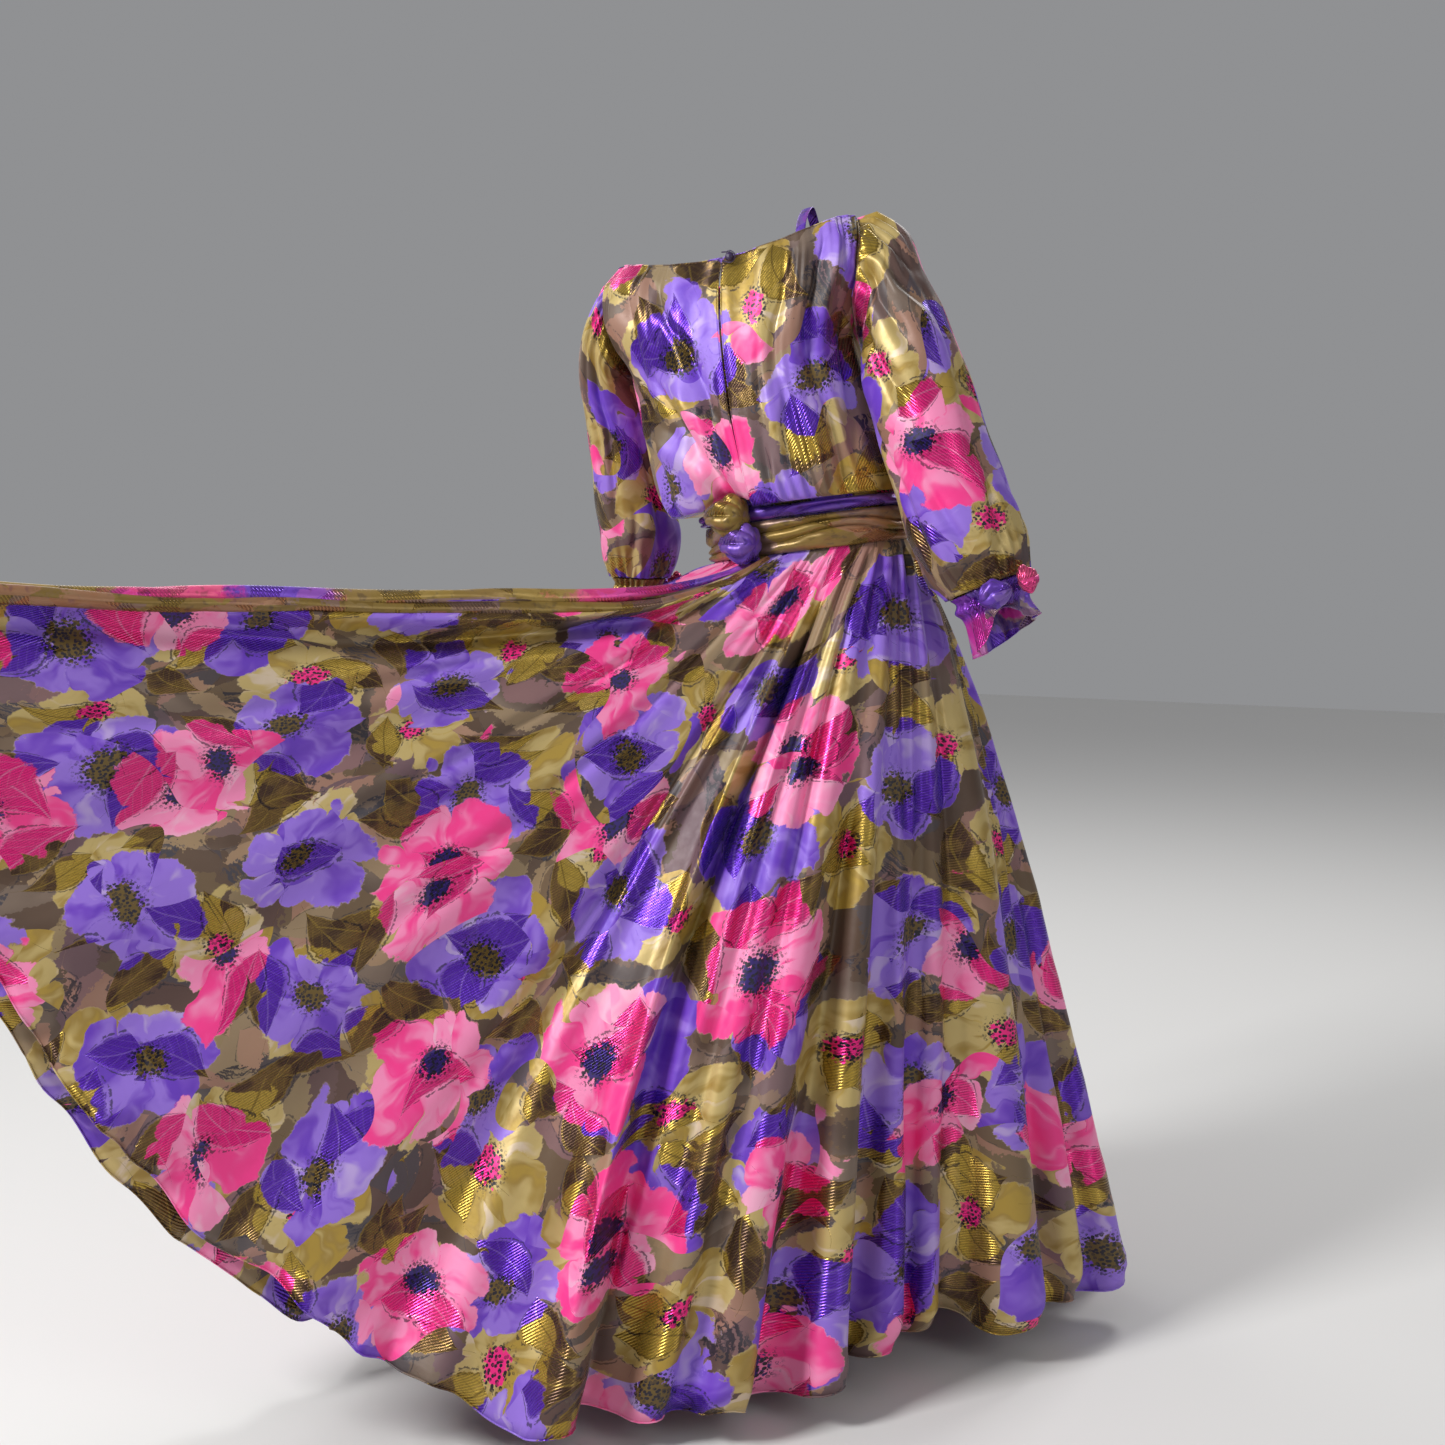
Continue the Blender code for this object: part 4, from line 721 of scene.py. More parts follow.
def skirt_surface(turns, falls):
    """Points of the skirt, a row for each fall from waist to hem, before it is set at the waist."""
    turn, fall = np.meshgrid(turns, falls)
    plan, z, out, signed = skirt_base(turn, fall)
    ahead = skirt_base(turn + TURN_STEP, fall)[0] - skirt_base(turn - TURN_STEP, fall)[0]
    along = ahead / (np.hypot(*ahead) + 1e-9)
    outward = np.stack([along[1], -along[0]])
    aside = WING_ASIDE[:, None, None]
    flat_turn = np.interp(signed, HEM_TURNS, FLAT_TURNS) + SKIRT_SWEEP * (turn > HEM_TURNS[-1])
    u, v = (SKIRT_FLAT_WAIST + SKIRT_LENGTH * fall) * heading(flat_turn)
    # Flutes, out and in by turns
    phase, offset, size = (
        through(FLUTE_STANDS, values, signed)
        for values in (math.pi * np.arange(len(FLUTE_STANDS)), FLUTE_OFFSETS, np.abs(FLUTE_OFFSETS))
    )
    where = ease(46.0, 60.0, signed) * fade(210.0, 220.0, signed)
    grown = where * out ** FLUTE_GROWTH
    at_waist = FLUTE_AT_WAIST * ease(0.0, 0.02, out) * (1.0 - out) ** 3 * np.cos(phase)
    push = grown * offset + where * at_waist
    round_out = FLUTE_ROUNDNESS * grown * size * np.sin(2.0 * phase)
    # Small gathers under the sash, soft folds and the uneven hang of thin cloth
    gathers = swaying(turn, ROUND / 3.4, 1.9, ROUND / 21.0) * (0.6 + 0.4 * np.sin(ROUND * turn / 11.0))
    push = push + WAIST_GATHER_DEPTH * gathers * ease(0.0, 0.03, out) * np.exp(-out / 0.09)
    for fold in SOFT_FOLDS:
        reach = ease(fold["starts"], fold["starts"] + 0.15, out) * fade(fold["ends"] - 0.3, fold["ends"], out)
        middle = fold_middle(fold, out) + 0.8 * np.sin(4.0 * out)
        push = push - fold["depth"] * bump(signed, middle, fold["width"]) * reach
    push = push + HANG_WAVE * ripples(u, v, 5, 0.17) * ease(0.02, 0.3, out)
    push = push + HANG_RIPPLE * ripples(u, v, 6, 0.05) * out
    # The hem's curls and ruffle
    at_hem = ease(0.94, 1.0, out)
    ruffle = swaying(flat_turn, ROUND / 5.6, 2.2, ROUND / 23.0)
    ruffle = ruffle * (0.6 + 0.4 * np.sin(ROUND * flat_turn / 7.3))
    push = push + at_hem * (HEM_CURL * ripples(u, v, 8, 0.12) + HEM_RUFFLE * ruffle)
    push = push - HEM_TUCK * where * ease(0.955, 1.0, out) ** 2
    z = z + HEM_LIFT * at_hem * ripples(u, v, 9, 0.13)
    plan = plan + push * outward + round_out * along
    for fold in DEEP_FOLDS:
        inward = fold["depth"] * ease(fold["starts"], fold["starts"] + 0.45, out)
        inward = inward * bump(signed, fold_middle(fold, out), fold["width"])
        plan = plan - inward * np.sign(fold["turn"]) * aside
    # The ridge that both sheets hang from, with its two rolls and the dark fold under them
    hang = fade(*HANG_SPAN, np.abs(signed))
    below = np.abs(np.radians(signed) * RIDGE_SPREAD) * SKIRT_LENGTH * out
    rounded = below - np.sqrt(below ** 2 + RIDGE_RADIUS ** 2) + RIDGE_RADIUS
    wander = 0.004 * np.sin(9.0 * out + 1.0) * out
    rolls = sum(roll["height"] * bump(below + wander, roll["below"], roll["width"]) for roll in RIDGE_ROLLS)
    rolls = rolls * ease(0.03, 0.20, out) * (0.75 + 0.25 * np.sin(7.0 * out))
    wide = RIDGE_RADIUS * np.tanh(below / RIDGE_RADIUS)
    plan = plan + hang * (wide + rolls) * np.sign(signed) * aside
    dip = RIDGE_DIP * (1.0 - np.exp(-out / 0.05)) + RIDGE_SAG * 4.0 * out * (1.0 - out) - RIDGE_RISE * out
    z = z + hang * rounded - bump(signed, 0.0, RIDGE_TOP) * dip
    return together(*plan, z), together(SKIRT_PRINT[0] + u, SKIRT_PRINT[1] + v)


def set_at_waist(points):
    """Puts the waist ring's own tilt and place on points that hang from its centre."""
    points = np.array(points, float)
    level = np.clip(1.0 + points[..., 2] / SKIRT_LENGTH, 0.0, 1.0)
    near = np.clip(points[..., 0], -WAIST_HALF_WIDTH, WAIST_HALF_WIDTH)
    points[..., 2] += WAIST_Z - SEAM_GAP - WAIST_SLOPE * near * level
    points[..., 0] += WAIST_SHIFT
    return points


def skirt_stands(first, last):
    """Where the columns stand between two edges, closest at the ridge."""
    stands = [first]
    while stands[-1] < last:
        near = min(abs(stands[-1]), abs(stands[-1] - SKIRT_SWEEP))
        stands.append(stands[-1] + next(apart for reach, apart in STAND_STEPS if near < reach))
    stands = np.array(stands)
    return first + (stands - first) * (last - first) / (stands[-1] - first)


def rolled_edge(spec, finish):
    """Cloth rolled up along the ridge, with slanting creases, thin at the waist."""
    out = np.linspace(0.015, 0.995, ROLL_ROWS)
    turns = np.minimum(np.degrees(spec["below"] / (RIDGE_SPREAD * SKIRT_LENGTH * out)), 20.0)
    points, _ = skirt_surface(turns, SKIRT_START + out * (1.0 - SKIRT_START))
    aside = np.append(WING_ASIDE, 0.0)
    path = set_at_waist(points[np.arange(ROLL_ROWS), np.arange(ROLL_ROWS)]) + spec["stands"] * aside
    path[:, 2] += spec["up"] + 0.0016 * np.sin(21.0 * out + spec["lean"])
    ahead = unit(np.gradient(path, axis=0))
    up = unit(np.cross(aside, ahead))
    turn = angles(ROLL_SIDES)[None, :]
    along = out[:, None]
    slant = turn + 11.0 * along + 0.8 * np.sin(17.0 * along + spec["lean"])
    girth = 0.84 + 0.22 * np.abs(np.sin(slant)) ** 0.6 + 0.05 * np.sin(3.0 * turn - 23.0 * along)
    girth = girth * (0.35 + 0.65 * ease(0.0, 0.22, along)) * (1.0 - 0.6 * ease(0.90, 1.0, along))
    girth = girth * (1.0 + 0.14 * np.sin(13.0 * along + spec["lean"])) * spec["radius"]
    points = path[:, None] + girth[..., None] * hoops(turn, np.cross(ahead, up), up)
    cut = together(along * SKIRT_LENGTH, spec["lean"] + girths(ROLL_SIDES, spec["radius"]))
    return grid_mesh(spec["name"], points, cut, finish, wraps=True, wall=0)


def skirt(cloth, rolls):
    for name, first, last, gores in SKIRT_PIECES:
        points, cut = skirt_surface(skirt_stands(first, last), SKIRT_FALLS)
        points = set_at_waist(points)
        shell = grid_mesh("cloth_" + name, points[:, ::-1], cut[:, ::-1], cloth)
        trims = [tube("hem_" + name, points[-1], HEM_ROLL, cloth, cut[-1])]
        if name == "skirt_back":
            trims += [rolled_edge(spec, rolls[spec["name"]]) for spec in ROLLED_EDGES]
        settle(shell, gores, trims)


# Sash and knots


def waist_ring(azimuth, height, out):
    """A point outside the waist seam, at a height above it."""
    angle = np.radians(azimuth)
    x = (WAIST_HALF_WIDTH + out) * np.cos(angle)
    return posed(together(x, (WAIST_HALF_DEPTH + out) * np.sin(angle), WAIST_Z + height))


def sash(finishes):
    angle = angles(SASH_COLUMNS)[None, :]
    for name, (high, low), folds, rows, print_height in SASH_BANDS:
        part = np.linspace(0.0, 1.0, rows)[:, None]
        height = low + (high - low) * part
        arch = np.sin(math.pi * part)
        drift = 0.55 * np.sin(angle * 2.0 + 0.6) + 0.25 * np.sin(angle * 5.0)
        lift = np.abs(np.sin(math.pi * (folds * part + drift * arch))) ** 0.6
        crinkle = 0.0014 * ripples(angle * 0.12, height * 2.2, 21, 0.030) * np.maximum(arch, 0.0) ** 0.5
        flare = SASH_FLARE * np.maximum(0.0, height - SASH_FLARE_START)
        points = waist_ring(np.degrees(angle), height, SASH_CLEARANCE + SASH_FOLD * lift + flare + crinkle)
        cut = together(SASH_PRINT + girths(SASH_COLUMNS, 0.115), print_height + height * 2.6)
        shell = grid_mesh("cloth_" + name, points, cut, finishes[name], wraps=True)
        settle(shell, [name])
    for lobe in SASH_KNOT_LOBES:
        outward, along = (np.append(heading(lobe["azimuth"] + turned), 0.0) for turned in (0.0, 90.0))
        centre = waist_ring(lobe["azimuth"], lobe["height"], lobe["out"])
        axes = (along, outward, np.array([0.0, 0.0, 1.0]))
        wrapped(lobe["name"], centre, lobe["size"], axes, finishes[lobe["name"]], *SASH_KNOT_WRAP)


def wrapped(name, centre, size, axes, finish, seed, turns, folds, taper=0.0):
    """A small knot of wrapped cloth: creased folds run along it, cross and crumple. taper thins one end."""
    along, outward, up = axes
    if np.dot(np.cross(along, outward), up) < 0.0:
        along = -along
    lat = np.linspace(-math.pi / 2, math.pi / 2, KNOT_ROWS)[:, None]
    lon = angles(KNOT_COLUMNS)[None, :]
    x = np.sin(lat)
    girth = np.cos(lat) ** 0.8
    crest = np.abs(np.sin(0.5 * folds * lon + turns * x + 0.7 * np.sin(3.0 * x + seed))) ** 0.6
    cross = np.abs(np.sin(4.0 * x + 1.8 * np.sin(lon + seed)))
    dents = sum(np.sin(k * lon + (5.0 - k) * x * 2.3 + seed * k) for k in (1, 2, 3)) / 3.0
    fold = (0.74 + girth * (0.36 * crest + 0.04 * cross + 0.09 * dents)) * (1.0 - taper * x) * girth
    z = np.sin(lon) * fold * (1.0 + 0.18 * np.sin(2.0 * x + seed))
    place = together(x * size[0], np.cos(lon) * fold * size[1], z * size[2]) @ np.array([along, outward, up])
    cut = together(girths(KNOT_COLUMNS, size[1]) + 0.3 * seed, (lat + 2.0) * size[0] + 0.13 * seed)
    settle(grid_mesh("cloth_" + name, centre + place, cut, finish, wraps=True, wall=0), [name])


# Sleeves


def limb(row, side):
    """A sleeve row's centre, and its directions down the arm and up across it."""
    tilt = math.radians(row[3])
    down = np.array([side * math.cos(tilt), 0.0, -math.sin(tilt)])
    return np.array(row[:3]), down, np.array([side * math.sin(tilt), 0.0, math.cos(tilt)])


def armhole(side, around):
    """The bodice's armhole, posed, with its top first and round by the back for each angle."""
    rows = BODICE_ROWS[ARMHOLE_START:]
    rise = 0.5 + 0.5 * np.cos(around)
    height, width, depth = (
        through(np.linspace(0.0, 1.0, len(rows)), rows[:, i], rise) for i in (7, 5 if side > 0 else 4, 6)
    )
    return posed(together(side * width, np.where(np.sin(around) >= 0.0, 1.0, -1.0) * depth, height))


def sleeve_shell(name, side, points, cut, finish):
    """The shell of a sleeve or a cuff, with its faces outwards on either side."""
    if side < 0:
        points, cut = points[:, ::-1], cut[:, ::-1]
    return grid_mesh("cloth_" + name, points, cut, finish, wraps=True), points, cut


def sleeve(side, label, rows, cloth):
    around = angles(SLEEVE_COLUMNS)
    edge = armhole(side, around)
    edge[:, 0] += side * SLEEVE_CLEARANCE
    last = len(rows) - 1
    folds = [fold for fold in SLEEVE_FOLDS if fold["side"] == side]
    upper = 0.35 + 0.65 * ease(-0.4, 0.6, np.cos(around))
    comb = swaying(around, 25.0, 1.1, 3.0, side)
    rings = []
    for at, row in zip(np.linspace(0.0, last, SLEEVE_LEVELS), refined(rows, SLEEVE_LEVELS)):
        centre, _, up = limb(row, side)
        wide = SLEEVE_GATHER_DEPTH * (fade(0.0, 4.0, at) * upper + ease(last - 3, last, at))
        fine = SLEEVE_HEAD_DEPTH * fade(0.0, 2.6, at) * upper + SLEEVE_FOOT_DEPTH * ease(last - 2.2, last, at)
        drag = SLEEVE_DRAG * ripples(0.065 * around + 0.02 * at, 0.055 * at, 31 + side, 0.085)
        drag = drag * ease(0.5, 2.5, at) * (1.0 - 0.6 * ease(last - 1.0, last, at))
        pressed = sum(creased(SLEEVE_AROUND * around, SLEEVE_ROW * at, fold) for fold in folds)
        swell = wide * np.cos(SLEEVE_GATHERS * around) + comb * fine + drag - pressed * ease(0.0, 0.6, at)
        ring = np.cos(around)[:, None] * row[4] * up + np.sin(around)[:, None] * row[5] * BACKWARD
        rings.append(centre + ring * (1.0 + swell / row[4])[:, None])
    head = [edge + (rings[0] - edge) * t for t in np.linspace(0.0, 1.0, 7)[:-1]]
    points = np.array(head + rings)
    left, top = SLEEVE_PRINT[label]
    down = lengths(points.mean(axis=1))[:, None]
    cut = together(left + side * girths(SLEEVE_COLUMNS, SLEEVE_AROUND), top - down)
    name = "sleeve_" + label
    shell, _, _ = sleeve_shell(name, side, points, cut, cloth)
    settle(shell, [name])


def cuff(side, label, row, finish, knots):
    """The drawn-in band under the sleeve with its short flounce, the knot and the loop on its outside."""
    place, down, up = limb(row, side)
    half_out, half_forward = row[4:]
    around = angles(CUFF_COLUMNS)
    apart = np.mod(around - KNOT_ANGLE[label] + math.pi, ROUND) - math.pi
    reach = 1.0 - CUFF_POINT * np.cos(around) - CUFF_NOTCH * bump(apart, 0.0, CUFF_NOTCH_WIDTH)
    falls = np.linspace(0.0, CUFF_FALLS[-1], CUFF_ROWS)
    rings = []
    for fall, flare in zip(falls, through(CUFF_FALLS, CUFF_FLARES, falls)):
        stretch = 1.0 + (reach - 1.0) * ease(CUFF_FALLS[2], CUFF_FALLS[-1], fall)
        depth = CUFF_RUFFLE_DEPTH * (0.3 + 0.9 * fall / CUFF_FALLS[-1])
        swell = depth * np.cos(CUFF_RUFFLES * around + 0.9 * np.sin(2.0 * around + 1.0))
        ruche = np.sin(23.0 * around + 1.4 * np.sin(4.0 * around) + 90.0 * fall)
        swell = swell + RUCHE_DEPTH * fade(0.020, 0.034, fall) * ruche
        swell = swell + FLOUNCE_WAVE * np.sin(17.0 * around + 2.0) * ease(0.025, 0.055, fall)
        out = (np.cos(around) * ((half_out - CUFF_INSET) * flare + swell))[:, None] * up
        fore = (np.sin(around) * ((half_forward - CUFF_INSET) * flare + swell))[:, None] * BACKWARD
        rings.append(place + down * (fall * stretch + SLEEVE_CLEARANCE)[:, None] + out + fore)
    cut = together(CUFF_PRINT[0] + side * 0.3 + girths(CUFF_COLUMNS, 0.055), CUFF_PRINT[1] - falls[:, None])
    name = "cuff_" + label
    shell, points, cut = sleeve_shell(name, side, np.array(rings), cut, finish)
    rim = np.concatenate([points[-1], points[-1][:1]])
    rim_cut = np.concatenate([cut[-1][:-1], cut[-1][:1]])
    roll = tube("hem_" + name, rim, EDGE_ROLL, finish, rim_cut)
    settle(shell, [name], [roll])
    for lump, cloth in zip(CUFF_LUMPS, knots):
        turn = KNOT_ANGLE[label] + lump["turn"]
        size = lump["size"]
        outward = math.cos(turn) * up + math.sin(turn) * BACKWARD
        aside = -math.sin(turn) * up + math.cos(turn) * BACKWARD
        spread = math.hypot(math.cos(turn) * half_out, math.sin(turn) * half_forward)
        centre = place + down * lump["fall"] + outward * (spread + size[1] + SLEEVE_GATHER_DEPTH)
        wrapped(lump["name"] + label, centre, size, (aside, outward, down), cloth, *lump["wrap"])


# Neck


def neck_closure(finish):
    top = posed((0.0, BODICE_ROWS[-1, 1], BODICE_ROWS[-1, 0]))
    centre = top + (BUTTON_ASIDE, BUTTON_RADIUS + BUTTON_STAND, BUTTON_DROP)
    lat = np.linspace(-math.pi / 2, math.pi / 2, 25)[:, None]
    lon = angles(BUTTON_SIDES)[None, :]
    shape = BUTTON_RADIUS * (1.0 + 0.03 * np.cos(8.0 * lon) * np.cos(lat) ** 2)
    shape = shape * (1.0 - 0.10 * bump(lat, math.pi / 2, 0.25))
    ball = together(np.cos(lat) * np.cos(lon), np.sin(lat), -np.cos(lat) * np.sin(lon))
    cut = together(np.linspace(0.0, 0.03, BUTTON_SIDES + 1)[None, :], lat * 0.005)
    button = grid_mesh("covered_button", shape[..., None] * ball + centre, cut, finish, wraps=True, wall=0)
    settle(button, ["neck_button"])
    reach = BUTTON_RADIUS + LOOP_CORD_RADIUS + LOOP_SLACK
    turn = np.linspace(-0.70 * math.pi, 0.70 * math.pi, 49)
    arc = together(centre[0] - reach * np.cos(turn), centre[1], centre[2] + reach * np.sin(turn))
    end = (top[0] + LOOP_END, centre[1] - LOOP_SINK)
    tails = [np.linspace((*end, arc[k][2]), arc[k], 10) for k in (0, -1)]
    path = np.concatenate([tails[0][:-1], arc, tails[1][::-1][1:]])
    settle(tube("thread_loop", path, LOOP_CORD_RADIUS, finish), ["button_loop"])


def inner_strap(finish):
    middle = refined(STRAP_PATH, STRAP_ROWS)
    part = np.linspace(-0.5, 0.5, 9)
    points = middle[:, None] + unit(np.array([1.0, 0.0, -SHOULDER_SLOPE])) * (STRAP_WIDTH * part)[:, None]
    points[..., 2] -= STRAP_CURL * (2.0 * part) ** 2
    length = lengths(middle)
    cut = together(STRAP_PRINT[0] + length[:, None], STRAP_PRINT[1] + STRAP_WIDTH * part)
    strap = grid_mesh("cloth_inner_strap", points, cut, finish)
    settle(strap, ["inner_strap_right"])


# Materials


class Flow:
    """A number or a vector in a node tree. Plain arithmetic on it adds the nodes that work it out."""

    def __init__(self, net, socket):
        self.net = net
        self.socket = socket

    def work(self, operation, a, b):
        if self.socket.type not in ("VECTOR", "RGBA"):
            return self.net.math(operation, a, b)
        if operation == "MULTIPLY" and not isinstance(b, tuple):
            operation = "SCALE"
        return self.net.vector(operation, a, b)

    def __add__(self, other):
        return self.work("ADD", self, other)

    def __sub__(self, other):
        return self.work("SUBTRACT", self, other)

    def __rsub__(self, other):
        return self.work("SUBTRACT", other, self)

    def __mul__(self, other):
        return self.work("MULTIPLY", self, other)

    def __truediv__(self, other):
        return self.work("DIVIDE", self, other)

    def __pow__(self, other):
        return self.work("POWER", self, other)

    def __lt__(self, other):
        return self.work("LESS_THAN", self, other)

    def __gt__(self, other):
        return self.work("GREATER_THAN", self, other)

    def __abs__(self):
        return self.net.math("ABSOLUTE", self)

    __radd__ = __add__
    __rmul__ = __mul__


class Net:
    """Short calls for the nodes of one tree. Three numbers stand for a place or a colour."""

    def __init__(self, tree):
        self.tree = tree

    def node(self, kind, **settings):
        made = self.tree.nodes.new("ShaderNode" + kind)
        for key, value in settings.items():
            setattr(made, key, value)
        return made

    def put(self, socket, value):
        if isinstance(value, Flow):
            self.tree.links.new(value.socket, socket)
        elif isinstance(value, tuple) and socket.type == "RGBA":
            socket.default_value = (*value, 1.0)
        else:
            socket.default_value = value

    def made(self, kind, values, output=0, **settings):
        """Adds a node, fills its inputs by place or by name, and gives one of its outputs."""
        node = self.node(kind, **settings)
        for key, value in values.items() if isinstance(values, dict) else enumerate(values):
            self.put(node.inputs[key], value)
        return Flow(self, node.outputs[output])

    def math(self, operation, *values, clamp=False):
        return self.made("Math", values, operation=operation, use_clamp=clamp)

    def most(self, a, b):
        return self.math("MAXIMUM", a, b)

    def vector(self, operation, a, b=(0.0, 0.0, 0.0)):
        values = {0: a, "Scale" if operation == "SCALE" else 1: b}
        output = "Value" if operation == "LENGTH" else "Vector"
        return self.made("VectorMath", values, output, operation=operation)

    def mix(self, factor, a, b):
        made = self.node("Mix", data_type="VECTOR")
        self.put(made.inputs["Factor"], factor)
        for name, value in (("A", a), ("B", b)):
            self.put([s for s in made.inputs if s.name == name and s.type == "VECTOR"][0], value)
        return Flow(self, [s for s in made.outputs if s.type == "VECTOR"][0])

    def ramp(self, value, low, high, to_low=0.0, to_high=1.0):
        return self.made("MapRange", (value, low, high, to_low, to_high), interpolation_type="SMOOTHSTEP")

    def noise(self, where, scale, detail=1.0, rough=0.55, output=0):
        values = {"Vector": where, "Scale": scale, "Detail": detail, "Roughness": rough}
        return self.made("TexNoise", values, output, noise_dimensions="2D")

    def cells(self, where, scale, output):
        values = {"Vector": where, "Scale": scale}
        return self.made("TexVoronoi", values, output, voronoi_dimensions="2D", feature="F1")

    def split(self, where):
        made = self.node("SeparateXYZ")
        self.put(made.inputs[0], where)
        return [Flow(self, socket) for socket in made.outputs]

    def join(self, x, y, z=0.0):
        return self.made("CombineXYZ", (x, y, z))

    def dice(self, where):
        made = self.node("TexWhiteNoise", noise_dimensions="3D")
        self.put(made.inputs["Vector"], where)
        return Flow(self, made.outputs["Value"]), Flow(self, made.outputs["Color"])

    def turned(self, where, angle):
        return self.made("VectorRotate", {"Vector": where, "Angle": angle}, rotation_type="Z_AXIS")

    def relief(self, height, strength, distance, **more):
        values = {"Height": height, "Strength": strength, "Distance": distance}
        return self.made("Bump", {**values, **more})


def cell_place(net, cut, spec):
    """A motif's own place: its cell's dice, and a point from its centre, in metres, moved and turned."""
    spread = net.turned(cut, spec["lattice"]) * (1.0 / spec["cell"])
    spread = spread + (spec["seed"], 1.7 * spec["seed"], 0.0)
    corner = net.vector("FLOOR", spread)
    key = corner + (0.0, 0.0, spec["seed"])
    chance, dice = net.dice(key)
    room = max(0.0, 1.0 - 2.05 * spec["size"] / spec["cell"])
    moved = (dice - (0.5, 0.5, 0.5)) * (room, room, 0.0)
    place = (spread - corner - (0.5, 0.5, 0.0) - moved) * spec["cell"]
    return key, chance, net.turned(place, net.split(dice)[2] * ROUND)


def flower(net, cut, noises, spec):
    """An open flower: broad uneven petals, a ragged heart and stamens round it."""
    wobble, ragged = noises
    key, chance, place = cell_place(net, cut, spec)
    px, py, _ = net.split(place)
    py = py * (1.0 + 0.32 * chance)
    reach = net.vector("LENGTH", net.join(px, py))
    turn = net.math("ARCTAN2", py, px) / ROUND + 0.14 * (wobble - 0.5)
    count = net.math("MULTIPLY_ADD", turn, spec["petals"], spec["petals"])
    petal = net.math("MODULO", net.math("FLOOR", count), spec["petals"])
    away = 2.0 * abs(net.math("FRACT", count) - 0.5)
    own, _ = net.dice(key + net.join(petal * 3.7, petal * 1.3, 0.5))
    tip = (1.0 - away) ** 2.0 * net.ramp(own, 0.45, 0.85)
    edge = 0.78 + 0.20 * own - 0.20 * away ** 5.0 + 0.20 * tip
    edge = (edge + 0.12 * (ragged - 0.5) + 0.30 * (wobble - 0.5)) * spec["size"]
    ratio = reach / edge
    shown = (reach < spec["cell"] * 0.49) * (chance < spec["chance"]) * net.ramp(ratio, 1.0, 0.965)
    border = (1.0 - away) * reach * (math.pi / spec["petals"])
    line = net.ramp(border, 0.0016, 0.0006) * net.ramp(ratio, 0.25, 0.50) * (ragged > 0.46)
    core = reach / spec["size"] + 0.34 * (ragged - 0.5)
    halo = net.ramp(core, 0.40, 0.24) * (ragged > 0.45)
    where = net.join(count * 1.5, reach * 13.0, chance)
    marks = net.join(line, net.ramp(core, 0.225, 0.195), halo)
    return shown, {"where": where, "own": net.join(own, 0.0), "marks": marks}


def leaf(net, cut, noises, spec):
    """A pointed leaf with a thin tail at each end: its mask, its veins and ribs with a painted highlight
    along its rim, and a pen line round it.
    """
    _, ragged = noises
    _, chance, place = cell_place(net, cut, spec)
    px, py, _ = net.split(place)
    along = px / spec["size"]
    square = along * along
    inside = net.math("SUBTRACT", 1.0, square, clamp=True)
    bend = (chance - 0.4) * (square * spec["size"]) + square * along * (0.10 * spec["size"])
    away = abs(py + bend)
    body = inside ** 1.5 * (1.0 + 0.30 * along) * (spec["width"] + 0.16 * (ragged - 0.5))
    ratio = away / net.most((body + 0.030 * inside) * spec["size"], 0.0001)
    there = chance < spec["chance"]
    shown = net.ramp(ratio, 1.0, 0.94) * there
    slant = net.math("FRACT", (px - away * 1.2) * 78.0)
    lines = net.most(net.ramp(away, 0.0013, 0.0006), 0.45 * net.ramp(abs(slant - 0.5), 0.08, 0.04))
    outline = net.ramp(abs(ratio - 1.12), 0.07, 0.03) * net.ramp(ragged, 0.41, 0.47) * there
    # Second mask: the veins and slanting ribs, which are woven lines, and a band inside the edge, which is a
    # painted highlight of the raised rim
    return shown, shown * net.most(lines, net.ramp(ratio, 0.84, 0.92)), outline


